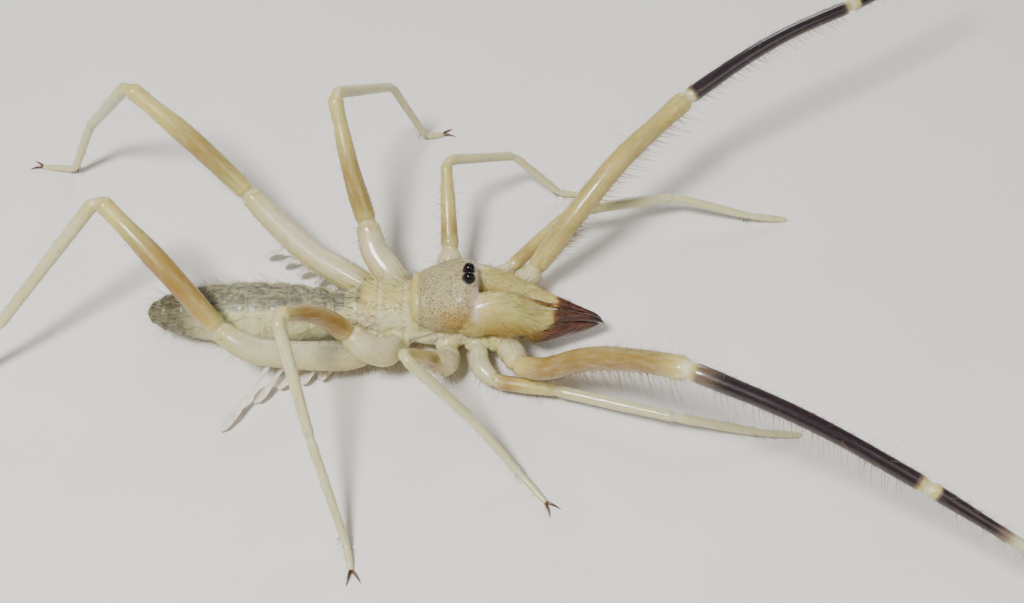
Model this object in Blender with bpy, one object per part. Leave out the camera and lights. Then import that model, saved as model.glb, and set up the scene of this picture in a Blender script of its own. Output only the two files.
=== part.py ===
"""A camel spider at life size: a still model in a walking stance on flat ground.

Shapes are worked out in millimetres and scaled to metres when a node is placed. X points forward,
Y to the animal's left and Z up. Places are measured from the floor point under the palp roots, and
the whole animal is moved at the end so that its box stands centred on the world's origin.
"""
import math
import random

import bpy
import bmesh
from mathutils import Matrix, Vector

MM = 0.001
GAP = 0.3
LIP = 0.16
ROOT_DEPTH = 0.25
SMALL = 1e-6
SEED = 11

# The trunk lies along X, leaning a little to one side.
TRUNK_Y = -4.75
TRUNK_LEAN = -0.018
TRUNK_PIVOT_X = -15.0

ABDOMEN_RINGS = 10
ABDOMEN_FRONT_X = -17.35
ABDOMEN_BACK_X = -39.2
ABDOMEN_SIDES = 18
ABDOMEN_RADII = [
    (0, 2.0), (0.16, 2.65), (0.33, 3.15), (0.5, 3.35), (0.66, 3.12), (0.8, 2.72), (0.9, 2.0), (1, 1.0)]

HEAD_SIDES = 20
CHELICERA_SIDES = 14
LIMB_SIDES = 10
THIN_SIDES = 8

EYE_RADIUS = 0.54
EYE_X = -4.45
EYE_Z = 10.95
EYE_APART = 1.38
MOUND_RADII = (1.05, 1.3, 0.85)

CREAM = (0.78, 0.72, 0.47)
PALE = (0.80, 0.76, 0.56)
SAND = (0.52, 0.46, 0.30)
AMBER = (0.66, 0.50, 0.24)
OLIVE_GREY = (0.55, 0.53, 0.38)
PLUM = (0.035, 0.018, 0.016)
RED_BROWN = (0.16, 0.035, 0.02)
BLACK = (0.01, 0.01, 0.012)

# Corners of each limb's centreline: (x, y, z, how far the bend reaches, the joint there).
# The first corner is inside the trunk. A corner with no joint name only bends the limb.
LIMBS = {
    "palp_right": [
        (-4.2, -6.0, 3.0, 0, None), (-0.9, -8.3, 3.2, 0.4, "trochanter"), (0.2, -9.9, 3.5, 0.8, None),
        (0.5, -11.6, 3.9, 1.0, "femur"), (3.1, -13.3, 5.2, 2.2, None), (7.7, -15.8, 11.0, 3.6, None),
        (12.5, -20.3, 16.5, 2.4, None), (15.9, -23.3, 19.3, 1.8, "tibia"), (26.4, -27.9, 18.2, 6.0, None),
        (36.8, -32.9, 14.8, 1.5, "foot"), (48.8, -39.0, 10.5, 2.0, None), (51.7, -40.4, 9.3, 0, None)],
    "palp_left": [
        (-3.8, -3.4, 3.0, 0, None), (0.3, -1.2, 3.3, 0.4, "trochanter"), (1.5, 0.0, 3.6, 0.8, None),
        (2.6, 1.0, 4.6, 0.9, "femur"), (6.4, 3.6, 9.5, 2.6, None), (11.4, 8.4, 13.8, 3.4, None),
        (19.3, 16.2, 15.7, 1.8, "tibia"), (28.8, 22.2, 18.9, 6.0, None),
        (38.5, 27.7, 19.2, 1.5, "foot"), (50.2, 36.4, 18.0, 2.0, None), (53.2, 38.3, 17.5, 0, None)],
    "leg_right_1": [
        (-5.2, -5.8, 2.6, 0, None), (-3.6, -8.7, 3.0, 0.4, "trochanter"), (-3.4, -11.0, 2.6, 1.0, None),
        (-1.7, -12.6, 2.3, 0.8, "femur"), (4.7, -13.7, 2.2, 0.9, "tibia"),
        (16.8, -17.6, 3.0, 1.2, "metatarsus"), (25.7, -18.3, 1.2, 0.9, "tarsus"),
        (30.0, -18.0, 0.33, 0, None)],
    "leg_left_1": [
        (-5.0, -3.6, 2.6, 0, None), (-2.1, -0.3, 3.0, 0.4, "trochanter"), (-1.3, 0.8, 3.2, 0.7, None),
        (-0.1, 1.9, 3.7, 0.7, "femur"), (6.7, 8.6, 5.6, 1.6, "tibia"), (18.7, 12.4, 3.8, 1.2, "metatarsus"),
        (27.8, 11.6, 1.4, 0.9, "tarsus"), (32.3, 12.0, 0.33, 0, None)],
    "leg_right_2": [
        (-7.6, -5.8, 2.8, 0, None), (-6.6, -9.0, 3.1, 0.4, "trochanter"), (-6.9, -11.0, 3.2, 1.1, None),
        (-8.4, -12.2, 5.4, 0.9, "femur"), (-10.8, -18.0, 14.6, 2.6, "tibia"),
        (-4.0, -19.6, 5.7, 1.0, "metatarsus"), (1.0, -23.3, 0.95, 0.8, "tarsus"),
        (3.5, -26.2, 0.33, 0, None)],
    "leg_left_2": [
        (-7.4, -3.6, 2.8, 0, None), (-6.7, -0.2, 3.7, 0.4, "trochanter"), (-6.8, 1.1, 4.8, 0.8, None),
        (-6.8, 2.6, 6.0, 0.8, "femur"), (-7.3, 11.0, 11.3, 1.4, "tibia"), (0.2, 16.5, 6.4, 1.0, "metatarsus"),
        (5.6, 15.8, 0.95, 0.8, "tarsus"), (8.4, 15.9, 0.33, 0, None)],
    "leg_right_3": [
        (-11.6, -5.8, 2.9, 0, None), (-12.5, -8.9, 3.8, 0.4, "trochanter"), (-13.2, -10.7, 4.8, 0.9, None),
        (-15.1, -11.3, 6.3, 0.9, None), (-17.0, -10.3, 7.8, 1.1, "femur"), (-19.5, -11.4, 12.6, 2.6, None),
        (-22.6, -15.0, 16.7, 1.5, "tibia"), (-19.4, -23.9, 8.65, 1.0, "metatarsus"),
        (-16.1, -31.1, 0.95, 0.8, "tarsus"), (-15.5, -33.7, 0.33, 0, None)],
    "leg_left_3": [
        (-11.4, -3.6, 2.9, 0, None), (-11.9, -1.6, 4.4, 0.4, "trochanter"), (-13.4, -0.1, 5.3, 0.9, None),
        (-15.0, 1.6, 6.4, 1.1, None), (-15.9, 4.6, 8.2, 1.2, "femur"), (-17.5, 7.8, 13.2, 2.6, None),
        (-19.2, 13.8, 18.7, 1.5, "tibia"), (-13.9, 22.9, 11.3, 1.0, "metatarsus"),
        (-10.7, 25.4, 1.0, 0.8, "tarsus"), (-8.4, 26.2, 0.33, 0, None)],
    "leg_right_4": [
        (-13.9, -5.8, 2.8, 0, None), (-15.4, -9.3, 3.3, 0.4, "trochanter"), (-17.1, -10.1, 3.4, 0.9, None),
        (-22.2, -10.8, 4.4, 2.0, None), (-27.2, -11.3, 5.9, 2.2, None), (-30.3, -9.7, 7.4, 0.9, "femur"),
        (-36.0, -5.4, 13.2, 4.0, None), (-42.2, -0.6, 17.6, 1.6, "tibia"),
        (-53.6, -8.8, 6.7, 1.0, "metatarsus"), (-60.8, -13.1, 1.0, 0.8, "tarsus"),
        (-63.4, -15.6, 0.33, 0, None)],
    "leg_left_4": [
        (-13.7, -3.6, 2.8, 0, None), (-15.2, -1.3, 3.6, 0.4, "trochanter"), (-17.2, -0.2, 4.0, 0.9, None),
        (-22.1, 2.5, 5.0, 2.0, None), (-26.2, 6.0, 6.5, 2.0, None), (-29.4, 9.0, 8.1, 0.9, "femur"),
        (-35.2, 11.3, 14.6, 4.0, None), (-41.6, 14.6, 19.0, 1.6, "tibia"),
        (-49.2, 19.6, 8.0, 1.0, "metatarsus"), (-52.6, 19.6, 1.0, 0.8, "tarsus"),
        (-57.0, 20.7, 0.33, 0, None)],
}

# Where two limb roots crowd each other, the first is cut clear of the second.
CUT_BY_NEIGHBOUR = {
    "leg_right_1": "palp_right", "leg_left_1": "palp_left",
    "leg_right_4": "leg_right_3", "leg_left_4": "leg_left_3"}

# Radii along each segment, from its near joint (0) to its far joint (1).
PALP_RADII = {
    "coxa": [(0, 1.6), (1, 1.25)],
    "trochanter": [(0, 1.2), (0.45, 1.4), (0.9, 1.2), (1, 1.1)],
    "femur": [(0, 1.05), (0.1, 1.2), (0.45, 1.2), (0.85, 1.12), (0.95, 1.15), (1, 1.0)],
    "tibia": [(0, 0.92), (0.05, 1.0), (0.3, 0.9), (0.7, 0.82), (0.95, 0.8), (1, 0.68)],
    "foot": [(0, 0.66), (0.06, 0.72), (0.4, 0.62), (0.8, 0.5), (0.85, 0.56), (0.95, 0.46), (1, 0.2)],
}
LEG_RADII = {
    "1": {
        "coxa": [(0, 1.3), (1, 1.05)],
        "trochanter": [(0, 1.0), (0.5, 1.1), (1, 0.85)],
        "femur": [(0, 0.82), (0.4, 0.8), (1, 0.66)],
        "tibia": [(0, 0.66), (0.5, 0.64), (0.95, 0.56), (1, 0.5)],
        "metatarsus": [(0, 0.5), (0.5, 0.5), (1, 0.42)],
        "tarsus": [(0, 0.4), (0.5, 0.4), (0.88, 0.34), (1, 0.14)],
    },
    "2": {
        "coxa": [(0, 1.4), (1, 1.2)],
        "trochanter": [(0, 1.15), (0.5, 1.4), (1, 1.05)],
        "femur": [(0, 1.0), (0.5, 0.86), (0.92, 0.68), (1, 0.62)],
        "tibia": [(0, 0.6), (0.1, 0.62), (0.9, 0.54), (1, 0.48)],
        "metatarsus": [(0, 0.48), (0.5, 0.5), (1, 0.42)],
        "tarsus": [(0, 0.38), (0.5, 0.38), (0.88, 0.32), (1, 0.14)],
    },
    "3": {
        "coxa": [(0, 1.6), (1, 1.45)],
        "trochanter": [(0, 1.4), (0.3, 1.6), (0.65, 1.5), (1, 1.25)],
        "femur": [(0, 1.15), (0.15, 1.15), (0.5, 0.98), (0.86, 0.78), (0.95, 0.82), (1, 0.74)],
        "tibia": [(0, 0.68), (0.1, 0.66), (0.9, 0.56), (1, 0.5)],
        "metatarsus": [(0, 0.5), (0.5, 0.5), (1, 0.42)],
        "tarsus": [(0, 0.38), (0.5, 0.38), (0.88, 0.32), (1, 0.14)],
    },
    "4": {
        "coxa": [(0, 1.7), (1, 1.5)],
        "trochanter": [(0, 1.45), (0.2, 1.6), (0.5, 1.5), (0.8, 1.4), (1, 1.18)],
        "femur": [(0, 1.1), (0.2, 1.15), (0.55, 1.2), (0.85, 0.95), (0.95, 0.92), (1, 0.8)],
        "tibia": [(0, 0.72), (0.1, 0.72), (0.9, 0.62), (1, 0.54)],
        "metatarsus": [(0, 0.54), (0.5, 0.54), (1, 0.44)],
        "tarsus": [(0, 0.4), (0.5, 0.38), (0.88, 0.32), (1, 0.14)],
    },
}

# Trunk sections: (x, half width, lowest z, highest z).
THORAX_SECTIONS = [
    (-16.95, 2.1, 2.2, 6.2), (-16.3, 2.7, 1.6, 7.2), (-14.6, 3.1, 1.3, 7.9), (-12.8, 3.2, 1.2, 7.6),
    (-11.4, 3.3, 1.2, 7.7), (-9.4, 3.4, 1.2, 7.2), (-6.0, 3.5, 1.3, 6.0), (-3.2, 3.1, 1.5, 5.2),
    (-2.0, 2.2, 1.9, 4.4)]
HEAD_SECTIONS = [
    (-10.9, 1.8, 5.2, 7.4), (-10.3, 2.7, 4.4, 8.4), (-9.0, 3.4, 4.0, 9.2), (-7.4, 3.9, 3.9, 9.8),
    (-5.8, 4.1, 3.9, 10.4), (-4.4, 4.05, 4.0, 10.7), (-3.5, 3.85, 4.2, 10.4), (-3.1, 3.55, 4.6, 10.0)]

# Each jaw's bulb and its fixed finger: (x, its middle's distance from the trunk's middle, half width,
# lowest z, highest z). The jaws move in turn, and the left one is swung down.
HAND_SECTIONS = {
    "right": [
        (-3.9, 2.0, 1.55, 5.0, 9.2), (-2.6, 2.05, 1.8, 4.4, 9.7), (-0.9, 2.05, 1.88, 4.2, 9.6),
        (0.8, 2.0, 1.88, 4.0, 8.9), (2.2, 1.85, 1.7, 4.3, 7.8), (3.4, 1.6, 1.35, 4.9, 7.0),
        (4.6, 1.25, 0.95, 5.1, 6.55), (6.4, 0.85, 0.5, 4.75, 5.85), (8.2, 0.55, 0.38, 4.1, 4.9),
        (9.5, 0.38, 0.26, 3.4, 3.95), (9.9, 0.36, 0.12, 3.15, 3.4)],
    "left": [
        (-3.9, 2.0, 1.5, 5.2, 9.0), (-2.6, 2.0, 1.7, 4.5, 9.1), (-0.9, 1.95, 1.72, 4.0, 8.1),
        (0.8, 1.8, 1.6, 3.6, 7.1), (2.2, 1.6, 1.35, 3.8, 6.5), (3.4, 1.35, 1.05, 4.1, 5.95),
        (4.6, 1.1, 0.8, 4.25, 5.5), (6.4, 0.8, 0.5, 4.1, 5.0), (8.2, 0.52, 0.34, 3.55, 4.2),
        (9.2, 0.4, 0.26, 3.1, 3.6), (9.6, 0.38, 0.12, 2.9, 3.15)],
}
FINGER_SECTIONS = {
    "right": [
        (1.5, 2.0, 0.9, 3.1, 4.5), (2.2, 2.0, 1.3, 2.5, 4.9), (3.4, 1.75, 1.4, 2.15, 5.1),
        (4.8, 1.4, 1.2, 2.1, 4.9), (6.4, 1.0, 0.85, 2.2, 4.4), (7.6, 0.75, 0.6, 2.4, 3.75),
        (8.6, 0.55, 0.35, 2.65, 3.3), (9.2, 0.45, 0.12, 2.85, 3.05)],
    "left": [
        (1.5, 1.9, 0.8, 2.3, 3.4), (2.2, 1.8, 1.1, 1.9, 3.6), (3.4, 1.6, 1.1, 1.8, 3.7),
        (4.8, 1.3, 0.95, 1.85, 3.65), (6.4, 0.95, 0.65, 2.0, 3.4), (7.6, 0.75, 0.5, 2.15, 3.1),
        (8.6, 0.55, 0.3, 2.3, 2.8), (9.0, 0.5, 0.12, 2.4, 2.6)],
}

# The palps' comb: two rows of spines under the femur and the tibia.
COMB_ROWS = (-32, 32)
COMB = {
    "femur": {"count": 7, "from": 0.2, "to": 0.93, "length": 2.6},
    "tibia": {"count": 6, "from": 0.1, "to": 0.92, "length": 2.3},
}
SPINE_RADIUS = 0.26

# Two long claws on each foot of the second to fourth legs, spread and hooked down.
CLAW_LENGTH = 1.9
CLAW_RADIUS = 0.25
CLAW_SPREAD = 24
CLAW_STEPS = 2

# A malleolus is a stalk that ends in a folded fan, hung under the root of leg IV. Each has its share
# of that root's length, then how far its tip lies back, outwards and down from the root's underside.
MALLEOLI = {
    "right": [(0.2, -2.2, -0.9, -1.2), (0.3, -2.6, -1.2, -1.6), (0.41, -3.2, -1.6, -2.0),
              (0.52, -3.8, -3.2, -2.6), (0.62, -5.4, -6.6, -3.2)],
    "left": [(0.2, -1.9, 0.5, -1.3), (0.3, -2.2, 0.6, -1.7), (0.41, -2.6, 0.8, -2.2),
             (0.52, -3.0, 1.0, -2.6), (0.62, -3.6, 1.2, -3.2)],
}
MALLEOLUS_STALK = 0.62
MALLEOLUS_THICK = 0.28
MALLEOLUS_WIDTHS = [(0, 0.34), (0.5, 0.3), (0.62, 0.36), (0.82, 0.8), (1, 0.24)]
FLOOR_CLEAR = 0.35


def trunk_y(x):
    """The middle of the trunk at a place along it."""
    return TRUNK_Y + TRUNK_LEAN * (x - TRUNK_PIVOT_X)


def read_profile(profile, share):
    """A value read from a list of (share, value), eased between neighbours."""
    for (s0, v0), (s1, v1) in zip(profile, profile[1:]):
        if share <= s1:
            t = max(0.0, (share - s0) / (s1 - s0))
            t = t * t * (3 - 2 * t)
            return v0 + (v1 - v0) * t
    return profile[-1][1]


class Centreline:
    """A limb's path: straight runs whose corners are eased, with a frame carried along it."""

    STEPS = 12

    def __init__(self, corners):
        points = [Vector(c[:3]) for c in corners]
        self.dots = [points[0]]
        self.joints = {}
        self.bends = []
        marks = []
        for i in range(1, len(points) - 1):
            before = (points[i - 1] - points[i]).normalized() * corners[i][3]
            after = (points[i + 1] - points[i]).normalized() * corners[i][3]
            first = len(self.dots)
            for k in range(self.STEPS + 1):
                t = k / self.STEPS
                self.dots.append(points[i] + before * (1 - t) ** 2 + after * t ** 2)
            marks.append((first, corners[i][4]))
        self.dots.append(points[-1])
        self.along = [0.0]
        for a, b in zip(self.dots, self.dots[1:]):
            self.along.append(self.along[-1] + (b - a).length)
        self.carry_frame()
        for first, joint in marks:
            self.bends += [self.along[first + k] for k in (0, 3, 6, 9, 12)]
            if joint:
                self.joints[joint] = self.along[first + self.STEPS // 2]
        self.length = self.along[-1]

    def carry_frame(self):
        """Tangents, and side vectors turned as little as possible from one dot to the next."""
        count = len(self.dots)
        self.tangents = []
        for i in range(count):
            ahead = self.dots[min(i + 1, count - 1)] - self.dots[max(i - 1, 0)]
            self.tangents.append(ahead.normalized())
        side = self.tangents[0].cross(Vector((0, 0, 1))).normalized()
        self.sides = []
        for tangent in self.tangents:
            side = (side - tangent * side.dot(tangent)).normalized()
            self.sides.append(side)

    def at(self, s):
        """Point, tangent and side vector at a length along the path."""
        s = min(max(s, 0.0), self.length)
        for i in range(len(self.dots) - 1):
            if self.along[i + 1] >= s:
                break
        t = (s - self.along[i]) / max(self.along[i + 1] - self.along[i], SMALL)
        point = self.dots[i].lerp(self.dots[i + 1], t)
        tangent = self.tangents[i].lerp(self.tangents[i + 1], t).normalized()
        side = self.sides[i].lerp(self.sides[i + 1], t)
        side = (side - tangent * side.dot(tangent)).normalized()
        return point, tangent, side


def new_object(name, verts, faces):
    """A mesh object in millimetres, with its faces as triangles that point out."""
    mesh = bpy.data.meshes.new(name)
    mesh.from_pydata([tuple(v) for v in verts], [], faces)
    bm = bmesh.new()
    bm.from_mesh(mesh)
    bmesh.ops.triangulate(bm, faces=bm.faces[:])
    bmesh.ops.recalc_face_normals(bm, faces=bm.faces[:])
    bm.to_mesh(mesh)
    bm.free()
    obj = bpy.data.objects.new(name, mesh)
    bpy.context.scene.collection.objects.link(obj)
    return obj


def skin_rings(name, rings, ends=(None, None)):
    """A closed tube through rings of points, each end closed by a fan round its middle or a tip."""
    sides = len(rings[0])
    verts = [p for ring in rings for p in ring]
    faces = []
    for r in range(len(rings) - 1):
        for k in range(sides):
            a, b = r * sides + k, r * sides + (k + 1) % sides
            faces.append((a, b, b + sides, a + sides))
    for ring, end, start in ((rings[0], ends[0], 0), (rings[-1], ends[1], (len(rings) - 1) * sides)):
        middle = sum(ring, Vector()) / sides
        verts.append(end if end is not None else middle)
        for k in range(sides):
            faces.append((start + k, start + (k + 1) % sides, len(verts) - 1))
    return new_object(name, verts, faces)


def ring_at(centre, tangent, side, wide, thick, sides):
    """Points of an ellipse across a path."""
    up = tangent.cross(side)
    turns = [2 * math.pi * k / sides for k in range(sides)]
    return [centre + side * (wide * math.cos(a)) + up * (thick * math.sin(a)) for a in turns]


def limb_segment(name, path, start, stop, profile, sides, open_tip=False, sunk=False):
    """One segment between two places on the path, its end faces square to the joints.

    A sunk one starts a little inside what it grows from, and is cut clear of it afterwards.
    """
    span = stop - start
    places = [s for s in path.bends if start + 0.2 < s < stop - 0.2]
    places += [start + span * share for share, _ in profile[1:-1]]
    spaced = []
    for s in sorted(places):
        if not spaced or s - spaced[-1] > 0.35:
            spaced.append(s)
    rings = []
    point, tangent, side = path.at(start)
    radius = read_profile(profile, 0)
    if sunk:
        rings.append(ring_at(point - tangent * ROOT_DEPTH, tangent, side, radius, radius, sides))
    else:
        lip = radius - LIP
        rings.append(ring_at(point + tangent * GAP / 2, tangent, side, lip, lip, sides))
        point, tangent, side = path.at(start + GAP / 2 + LIP)
        rings.append(ring_at(point, tangent, side, radius, radius, sides))
    for s in spaced:
        if s < start + 0.6 or s > stop - 0.6:
            continue
        point, tangent, side = path.at(s)
        radius = read_profile(profile, (s - start) / span)
        rings.append(ring_at(point, tangent, side, radius, radius, sides))
    radius = read_profile(profile, 1)
    if open_tip:
        point, tangent, side = path.at(stop)
        rings.append(ring_at(point, tangent, side, radius, radius, sides))
        return skin_rings(name, rings, (None, point + tangent * radius * 0.6))
    point, tangent, side = path.at(stop - GAP / 2 - LIP)
    rings.append(ring_at(point, tangent, side, radius, radius, sides))
    lip = radius - LIP
    point, tangent, side = path.at(stop)
    rings.append(ring_at(point - tangent * GAP / 2, tangent, side, lip, lip, sides))
    return skin_rings(name, rings)


def trunk_loft(name, sections, sides, roundness, ends=(0.3, 0.3)):
    """A closed form along X through sections: (x, middle y, half width, lowest z, highest z)."""
    rings = []
    for x, y, half, low, high in sections:
        middle, tall = (low + high) / 2, (high - low) / 2
        ring = []
        for k in range(sides):
            a = 2 * math.pi * (k + 0.5) / sides
            c, s = math.cos(a), math.sin(a)
            ring.append(Vector((x, y + half * math.copysign(abs(c) ** (2 / roundness), c),
                                middle + tall * math.copysign(abs(s) ** (2 / roundness), s))))
        rings.append(ring)
    first, last = sections[0], sections[-1]
    step = 1 if last[0] > first[0] else -1
    tips = [Vector((first[0] - step * ends[0], first[1], (first[3] + first[4]) / 2)),
            Vector((last[0] + step * ends[1], last[1], (last[3] + last[4]) / 2))]
    return skin_rings(name, rings, tips)


def grown_copy(obj, by):
    """A copy of a mesh pushed out along its normals, to cut its neighbour clear of it."""
    bm = bmesh.new()
    bm.from_mesh(obj.data)
    bm.normal_update()
    pushed = [v.co + v.normal * by * 1.1 for v in bm.verts]
    for v, co in zip(bm.verts, pushed):
        v.co = co
    mesh = bpy.data.meshes.new(obj.name + "_grown")
    bm.to_mesh(mesh)
    bm.free()
    copy = bpy.data.objects.new(obj.name + "_grown", mesh)
    bpy.context.scene.collection.objects.link(copy)
    return copy


def keep_largest(obj):
    """Keeps only the largest closed surface of a mesh."""
    bm = bmesh.new()
    bm.from_mesh(obj.data)
    bmesh.ops.dissolve_degenerate(bm, dist=1e-4, edges=bm.edges[:])
    bmesh.ops.triangulate(bm, faces=bm.faces[:])
    left = set(bm.faces)
    shells = []
    while left:
        shell, front = set(), [left.pop()]
        while front:
            face = front.pop()
            shell.add(face)
            for edge in face.edges:
                for other in edge.link_faces:
                    if other in left:
                        left.discard(other)
                        front.append(other)
        shells.append(shell)
    shells.sort(key=lambda faces: sum(f.calc_area() for f in faces))
    loose = [f for shell in shells[:-1] for f in shell]
    bmesh.ops.delete(bm, geom=loose, context="FACES")
    bm.to_mesh(obj.data)
    bm.free()


def combine(obj, pieces, operation, solver="EXACT"):
    """One Boolean of a node with a collection of closed pieces, applied, with the pieces removed."""
    if not pieces:
        return obj
    group = bpy.data.collections.new(obj.name + "_pieces")
    for piece in pieces:
        group.objects.link(piece)
    modifier = obj.modifiers.new("combine", "BOOLEAN")
    modifier.operation = operation
    modifier.operand_type = "COLLECTION"
    modifier.collection = group
    modifier.solver = solver
    bpy.context.view_layer.objects.active = obj
    bpy.ops.object.modifier_apply(modifier=modifier.name)
    for piece in pieces:
        bpy.data.objects.remove(piece)
    bpy.data.collections.remove(group)
    keep_largest(obj)
    return obj


def fuse(obj, pieces, solver="EXACT"):
    """Joins closed pieces to a node."""
    return combine(obj, pieces, "UNION", solver)


def clear_of(obj, neighbours):
    """Cuts a node back from its neighbours by the gap."""
    return combine(obj, [grown_copy(n, GAP) for n in neighbours], "DIFFERENCE")


def spine(root, direction, length, radius, droop):
    """A four-sided spine that tapers and bends a little, its root sunk in what it grows from."""
    direction = direction.normalized()
    side = direction.cross(Vector((0.3, 0.2, 1))).normalized()
    middle = root + direction * length * 0.5
    tip = root + direction * length + droop * length
    rings = [ring_at(root, direction, side, radius, radius, 4),
             ring_at(middle, direction, side, radius * 0.72, radius * 0.72, 4)]
    return skin_rings("spine", rings, (None, tip))


def make_abdomen():
    """A long oval of ten rings with a shallow fold between each two."""
    sections = []
    length = ABDOMEN_FRONT_X - ABDOMEN_BACK_X
    for i in range(ABDOMEN_RINGS * 2 + 1):
        share = i / (ABDOMEN_RINGS * 2)
        x = ABDOMEN_FRONT_X - length * share
        radius = read_profile(ABDOMEN_RADII, share) * (0.96 if i % 2 == 0 else 1.0)
        middle = 4.15 - 0.75 * share
        sections.append((x, trunk_y(x), radius, middle - radius * 0.98, middle + radius))
    return trunk_loft("abdomen", sections, ABDOMEN_SIDES, 2.0, (0.0, 0.35))


def make_eyes():
    """Two beads set side by side on the eye mound."""
    eyes = []
    for label, side in (("eye_right", -1), ("eye_left", 1)):
        bm = bmesh.new()
        place = Matrix.Translation((EYE_X, trunk_y(EYE_X) + side * EYE_APART / 2, EYE_Z))
        bmesh.ops.create_uvsphere(bm, u_segments=12, v_segments=7, radius=EYE_RADIUS, matrix=place)
        bmesh.ops.triangulate(bm, faces=bm.faces[:])
        mesh = bpy.data.meshes.new(label)
        bm.to_mesh(mesh)
        bm.free()
        eye = bpy.data.objects.new(label, mesh)
        bpy.context.scene.collection.objects.link(eye)
        eyes.append(eye)
    return eyes


def make_chelicera(side, sections, name):
    """One half of the jaws, left or right of the trunk's middle."""
    placed = [(x, trunk_y(x) + side * out, half, low, high) for x, out, half, low, high in sections]
    return trunk_loft(name, placed, CHELICERA_SIDES, 2.1, (0.15, 0.12))


def make_head():
    """The head shield with the eye mound on its front edge."""
    shield = trunk_loft("head", [(x, trunk_y(x), half, low, high) for x, half, low, high in HEAD_SECTIONS],
                        HEAD_SIDES, 2.3, (0.2, 0.1))
    bm = bmesh.new()
    place = Matrix.Translation((EYE_X - 0.15, trunk_y(EYE_X), EYE_Z - 0.75))
    place = place @ Matrix.Diagonal((*MOUND_RADII, 1))
    bmesh.ops.create_uvsphere(bm, u_segments=14, v_segments=9, radius=1.0, matrix=place)
    mesh = bpy.data.meshes.new("mound")
    bm.to_mesh(mesh)
    bm.free()
    mound = bpy.data.objects.new("mound", mesh)
    bpy.context.scene.collection.objects.link(mound)
    return fuse(shield, [mound])


def add_combs(segments, paths):
    """Fuses the rows of spines under the palps' femora and tibiae."""
    draw = random.Random(SEED)
    for side in ("right", "left"):
        limb = "palp_" + side
        path = paths[limb]
        ends = {"femur": "tibia", "tibia": "foot"}
        for joint, comb in COMB.items():
            start, stop = path.joints[joint], path.joints[ends[joint]]
            spines = []
            for i in range(comb["count"]):
                for row in COMB_ROWS:
                    step = (i + 0.35 * (row > 0)) / comb["count"]
                    share = comb["from"] + (comb["to"] - comb["from"]) * step
                    point, tangent, _ = path.at(start + (stop - start) * share)
                    under = (Vector((0, 0, -1)) + tangent * tangent.z).normalized()
                    aim = Matrix.Rotation(math.radians(row), 3, tangent) @ under + tangent * 0.35
                    radius = read_profile(PALP_RADII[joint], share)
                    length = comb["length"] * draw.uniform(0.85, 1.1) + radius * 0.5
                    spines.append(spine(point + aim.normalized() * radius * 0.5, aim, length,
                                        SPINE_RADIUS, tangent * 0.12))
            fuse(segments[limb, joint], spines)


def claw(root, aim, down):
    """One hooked claw that tapers to its tip."""
    rings = []
    point, heading = root.copy(), aim.normalized()
    for i in range(CLAW_STEPS):
        share = i / CLAW_STEPS
        radius = CLAW_RADIUS * (1 - 0.45 * share)
        side = heading.cross(Vector((0, 0, 1))).normalized()
        rings.append(ring_at(point, heading, side, radius, radius, 5))
        point = point + heading * CLAW_LENGTH / CLAW_STEPS
        heading = (heading + down * 0.35).normalized()
    return skin_rings("claw", rings, (None, point))


def add_claws(segments, paths):
    """Fuses two claws to each foot but the first legs', whose tips are bare."""
    for limb, path in paths.items():
        if limb[-1] not in "234":
            continue
        point, tangent, _ = path.at(path.length - 0.25)
        level = Vector((tangent.x, tangent.y, 0)).normalized()
        claws = []
        for turn in (-CLAW_SPREAD, CLAW_SPREAD):
            aim = Matrix.Rotation(math.radians(turn), 3, "Z") @ level + Vector((0, 0, 0.28))
            claws.append(claw(point + Vector((0, 0, 0.02)), aim, Vector((0, 0, -1))))
        fuse(segments[limb, "tarsus"], claws)


def add_malleoli(segments, paths):
    """Fuses five fan-ended organs under the root of each leg IV."""
    for side, row in MALLEOLI.items():
        limb = f"leg_{side}_4"
        path = paths[limb]
        start, stop = path.joints["trochanter"], path.joints["femur"]
        fans = []
        for share, back, out, down in row:
            point, tangent, _ = path.at(start + (stop - start) * share)
            radius = read_profile(LEG_RADII["4"]["trochanter"], share)
            root = point + Vector((0, 0, -radius * 0.55))
            tip = point + Vector((back, out, down - radius))
            tip.z = max(tip.z, FLOOR_CLEAR)
            knee = root.lerp(tip, MALLEOLUS_STALK) + Vector((0, 0, -0.5))
            knee.z = max(knee.z, FLOOR_CLEAR + 0.1)
            hang = Centreline([(*root, 0, None), (*knee, 0.9, None), (*tip, 0, None)])
            rings = []
            for s, wide in MALLEOLUS_WIDTHS:
                place, along, _ = hang.at(hang.length * s)
                flat = along.cross(Vector((0, 0, 1))).normalized()
                rings.append(ring_at(place, along, flat, wide, MALLEOLUS_THICK, 6))
            fans.append(skin_rings("malleolus", rings))
        fuse(segments[limb, "trochanter"], fans, "MANIFOLD")


def make_limbs():
    """Every limb's segments, keyed by limb and segment, with the coxae that belong to the thorax."""
    paths, segments, coxae = {}, {}, []
    for limb, corners in LIMBS.items():
        path = Centreline(corners)
        paths[limb] = path
        radii = PALP_RADII if limb.startswith("palp") else LEG_RADII[limb[-1]]
        names = list(path.joints)
        places = [path.joints[n] for n in names] + [path.length]
        coxae.append(limb_segment(limb + "_coxa", path, 0.0, places[0], radii["coxa"], LIMB_SIDES))
        for i, joint in enumerate(names):
            last = i == len(names) - 1
            sides = LIMB_SIDES if joint in ("trochanter", "femur") else THIN_SIDES
            segments[limb, joint] = limb_segment(
                f"{limb}_{joint}", path, places[i], places[i + 1], radii[joint], sides, last, i == 0)
    return paths, segments, coxae


def flatten_soles(obj):
    """Lets a foot stand on the floor with a small flat."""
    for v in obj.data.vertices:
        v.co.z = max(v.co.z, 0.0)


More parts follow.
